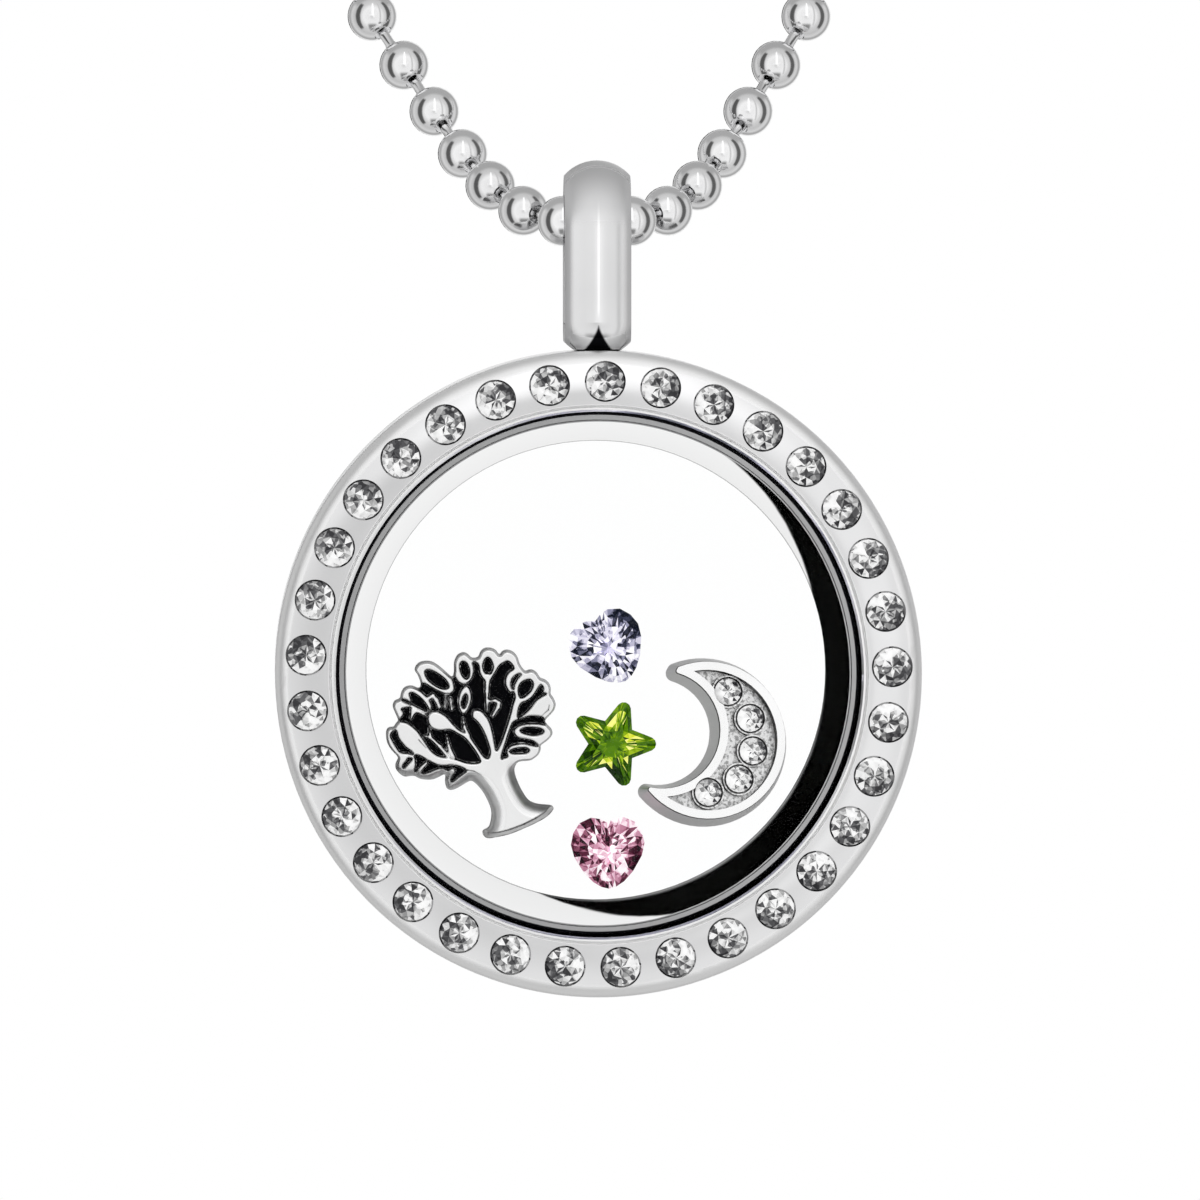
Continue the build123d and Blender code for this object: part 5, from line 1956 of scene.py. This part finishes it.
    def edges(self, place: np.ndarray) -> tuple[np.ndarray, np.ndarray]:
        """Distances to the outline, in two parts.

        Args:
            place: Picture points.

        Returns:
            The distances to the outline without its base, and to the base.
        """
        curve = self.curve(self.outline)
        corners = np.reshape(self.base, (-1, 2))
        base = list(zip(corners, corners[1:]))
        to_base = np.min([line_distance(place, a, b)[0] for a, b in base], axis=0)
        rest = np.full(place.shape[:-1], np.inf)
        for start, finish in zip(curve, np.roll(curve, -1, axis=0)):
            middle = (start + finish)[None] / 2.0
            if min(line_distance(middle, a, b)[0][0] for a, b in base) > self.base_reach:
                rest = np.minimum(rest, line_distance(place, start, finish)[0])
        return rest, to_base

    def build(self) -> None:
        """Build the tree in place of its node.

        The depth is ground - h q(s / w) on raised work that lies s inside, and at the outline it
        falls back to the edge's depth by a round that widens from the crown to the trunk.
        """
        place, faces = self.grid()
        raised = self.raised(place)
        side, to_base = self.edges(place)
        low = eased(place[..., 1], *self.trunk_down)
        width = self.edge_round + (self.trunk_round - self.edge_round) * low
        top = self.ground_y - self.height * quarter_round(raised / self.rim_round)
        fall = quarter_round(side / width) * np.clip(to_base / self.base_band, 0.0, 1.0)
        depth = top + (self.edge_y - top) * (1.0 - fall)
        tone = self.tones(place, raised, side, to_base)
        self.solid(place, depth, tone, faces)

    def solid(
        self, place: np.ndarray, depth: np.ndarray, tone: np.ndarray, faces: np.ndarray
    ) -> None:
        """Close the front with a flat back and a wall, and make the piece.

        A wall stands on each side of a face that no other face shares the other way round.

        Args:
            place: The grid's picture points.
            depth: Depth of each point.
            tone: Tone of each point.
            faces: The front's faces.
        """
        flat = picture_points(place).reshape(-1, 2)
        used, faces = np.unique(faces, return_inverse=True)
        faces = faces.reshape(-1, 4)
        front = np.column_stack((flat[used, 0], depth.ravel()[used], flat[used, 1])) + LOCKET_CENTRE
        back = front.copy()
        back[:, 1] = LOCKET_CENTRE[1] + self.back_y
        count = len(used)
        links = np.stack((faces, np.roll(faces, -1, axis=1)), axis=-1).reshape(-1, 2)
        codes = links[:, 0] * count + links[:, 1]
        rim = links[~np.isin(codes, links[:, 1] * count + links[:, 0])]
        walls = np.column_stack((rim[:, 1], rim[:, 0], rim[:, 0] + count, rim[:, 1] + count))
        faces = np.vstack((faces, faces[:, ::-1] + count, walls))
        tones = np.concatenate((tone.ravel()[used], np.full(count, self.back_tone)))
        shell = Shell(per_point=True)
        shell.add(np.vstack((front, back)), faces, tones)
        material = self.finish.material()
        shell.piece("tree_cast", Body.LOCKET, material, ["tree_charm"], self.crease)

    def tones(
        self, place: np.ndarray, raised: np.ndarray, side: np.ndarray, to_base: np.ndarray
    ) -> np.ndarray:
        """Tone of each point: 1 bright, 0 black; the ground's black is oxide, and the darker sides
        and edges are painted shade.

        Args:
            place: The grid's picture points.
            raised: Distance inside the raised work.
            side: Distance from the outline without its base.
            to_base: Distance from the base.

        Returns:
            One tone for each point.
        """
        across, down = place[..., 0], place[..., 1]
        low = eased(down, *self.trunk_tone_down)
        right = eased(across - self.trunk_slant * (down - self.trunk_top), *self.trunk_middle)
        # Painted shade: the crown's edges and the trunk's sides, darker on its right.
        crown_side = shaded(side, *self.crown_shade)
        left_side = shaded(side, *self.left_shade)
        trunk_side = left_side + (shaded(side, *self.right_shade) - left_side) * right
        tone = crown_side + (trunk_side - crown_side) * low
        near_base = 1.0 - eased(to_base, *self.base_edge)
        tone = tone + (self.base_tone - tone) * near_base * low
        # Painted shade along the outline and the base.
        tone = tone * shaded(np.minimum(side, to_base), *self.rim_shade)
        for row in np.array(self.scores):
            tone = tone * (1.0 - self.score_dark * eased(self.twig(place, row), *self.score_edge))
        return tone * eased(raised, *self.ground_edge)


@dataclass(frozen=True)
class Card:
    """A soft-edged patch of the studio, by azimuth from the camera's side and elevation.

    Its angles are in degrees.
    """

    azimuth: float
    elevation: float
    half_width: float
    half_height: float
    level: float
    soft: float

    def mask(self, azimuth: Wire, elevation: Wire) -> Wire:
        """One on the card and zero off it.

        Args:
            azimuth: Azimuth of the direction in degrees.
            elevation: Its elevation in degrees.

        Returns:
            The mask.
        """
        across = (azimuth - self.azimuth).wrapped(-180.0, 180.0).size()
        up = (elevation - self.elevation).size()
        return across.within(self.half_width, self.soft) * up.within(self.half_height, self.soft)


@dataclass(frozen=True)
class Arc:
    """A soft-edged arc of the studio round the locket's axis, in degrees.

    turn is measured about the axis from the wearer's left, upwards, and spread is the angle away
    from the camera's side. The arc turns on by slant degrees for each degree of spread.
    """

    turn: float
    half_turn: float
    spread: float
    half_spread: float
    level: float
    soft: float
    slant: float = 0.0

    def mask(self, turn: Wire, spread: Wire) -> Wire:
        """One on the arc and zero off it.

        Args:
            turn: Angle of the direction about the axis in degrees.
            spread: Its angle away from the camera's side.

        Returns:
            The mask.
        """
        shift = (spread - self.spread) * self.slant + self.turn
        around = (turn - shift).wrapped(-180.0, 180.0).size()
        away = (spread - self.spread).size()
        return around.within(self.half_turn, self.soft) * away.within(self.half_spread, self.soft)


@dataclass
class Studio:
    """Pale floor, soft surrounding light and the camera.

    A ring is its share of the half turn away from the camera's side, and its brightness. The
    camera's angles are in degrees: azimuth towards the wearer's left and elevation upwards.
    """

    floor_finish: Finish = FloorFinish("pale_floor")
    floor_level: float = -300.0
    floor_radius: float = 450.0
    floor_rings: int = 12
    floor_sides: int = 96
    rings: tuple[Pair, ...] = (
        (0.0, 0.72),
        (0.03, 0.74),
        (0.08, 0.90),
        (0.24, 0.98),
        (0.34, 0.7),
        (0.5, 0.58),
        (0.62, 0.72),
        (0.72, 0.4),
        (0.78, 0.45),
        (0.84, 0.9),
        (0.95, 0.95),
        (1.0, 1.0),
    )
    arcs: tuple[Arc, ...] = (
        Arc(90.0, 55.0, 112.0, 22.0, 0.42, 18.0),
        Arc(166.0, 66.0, 160.5, 9.0, 0.0, 3.0, 3.6),
    )
    cards: tuple[Card, ...] = (
        Card(7.5, -1.0, 5.0, 5.0, 1.0, 3.5),
        Card(-2.0, 6.5, 16.0, 3.5, 0.98, 3.0),
        Card(1.5, 34.0, 5.0, 30.0, 1.3, 6.0),
        Card(15.9, 11.7, 3.5, 3.5, 1.0, 3.0),
        Card(38.0, 20.0, 4.0, 60.0, 0.62, 6.0),
        Card(-72.0, 0.0, 13.0, 50.0, 0.1, 10.0),
        Card(82.0, 6.0, 12.0, 50.0, 0.12, 10.0),
        Card(0.0, -50.0, 24.0, 14.0, 0.25, 18.0),
    )
    target: tuple[float, float, float] = (0.14, -105.791, -161.306)
    distance: float = 600.0
    azimuth: float = -1.6
    elevation: float = 2.0
    field_width: float = 55.9
    sensor_width: float = 36.0
    clip: Pair = (0.05, 20.0)

    def floor(self) -> None:
        """Round floor: rings of radius r at one level, closed in the middle."""
        radius = np.linspace(self.floor_radius, 0.0, self.floor_rings)
        profile = np.column_stack((radius, np.full(self.floor_rings, self.floor_level)))
        shell = Shell()
        shell.copies(lathe(profile, self.floor_sides), np.eye(3)[None], np.zeros((1, 3)))
        obj = place_mesh("floor", shell.mesh("floor"), self.floor_finish.material())
        obj.visible_glossy = False

    def level(self, graph: Graph) -> Wire:
        """Brightness by direction: the rings, with the arcs and then the cards laid over them.

        Args:
            graph: The world's nodes.

        Returns:
            The brightness.
        """
        x, y, z = graph.axes(graph.add("ShaderNodeTexCoord")["Generated"])
        azimuth = x.angle(0.0 - y) * DEGREES
        elevation = z.arcsine() * DEGREES
        spread = (0.0 - y).arccosine() * DEGREES
        turn = z.angle(x) * DEGREES
        stops = [(place, grey(level)) for place, level in self.rings]
        level = graph.add("ShaderNodeValToRGB", {"stops": stops}, {0: spread / 180.0})[0]
        for arc in self.arcs:
            level = arc.mask(turn, spread) * (arc.level - level) + level
        for card in self.cards:
            level = card.mask(azimuth, elevation) * (card.level - level) + level
        return level

    def surroundings(self) -> None:
        """Soft white studio with grey and black cards for the metal to reflect."""
        world = bpy.data.worlds.new("studio")
        world.use_nodes = True
        bpy.context.scene.world = world
        graph = Graph(world.node_tree)
        level = self.level(graph)
        seen = graph.add("ShaderNodeLightPath")["Is Camera Ray"]
        sockets = {"Color": opaque(WHITE), "Strength": seen * (1.0 - level) + level}
        light = graph.add("ShaderNodeBackground", sockets=sockets)[0]
        graph.add("ShaderNodeOutputWorld", sockets={"Surface": light})
        bpy.context.scene.view_settings.view_transform = "Standard"

    def camera(self) -> None:
        """Long lens at the photograph's angle: a little to the wearer's right and above."""
        data = bpy.data.cameras.new("camera")
        data.sensor_width = self.sensor_width
        data.lens = self.sensor_width * self.distance / self.field_width
        data.clip_start, data.clip_end = self.clip
        obj = bpy.data.objects.new("camera", data)
        bpy.context.scene.collection.objects.link(obj)
        turn, rise = radians(self.azimuth), radians(self.elevation)
        back = Vector((sin(turn) * cos(rise), -cos(turn) * cos(rise), sin(rise)))
        obj.location = (Vector(self.target) + back * self.distance) * MM
        obj.rotation_mode = "QUATERNION"
        obj.rotation_quaternion = (-back).to_track_quat("-Z", "Y")
        bpy.context.scene.camera = obj

    def build(self) -> None:
        """Set up the floor, the light and the camera."""
        self.floor()
        self.surroundings()
        self.camera()


@dataclass
class Locket:
    """Case, bezel and panes."""

    case: Finish = CaseSteel("case_steel")
    bezel: Finish = BezelSteel("bezel_steel", (0.84, 0.84, 0.845))
    panes: Finish = WindowGlass("pane_glass")

    def build(self) -> None:
        """Dress the case, bezel and panes."""
        dress(self.case.material(), "case")
        dress(self.bezel.material(), "bezel")
        dress(self.panes.material(), "front_glass", "back_glass")


def main() -> None:
    """Build every part of the scene and report it."""
    logging.basicConfig(level=logging.INFO, format="%(name)s: %(message)s")
    for part in (NeckChain, BezelCrystals, Locket, TreeCharm, MoonCharm, LooseStones, Studio):
        part().build()


if __name__ == "__main__":
    main()
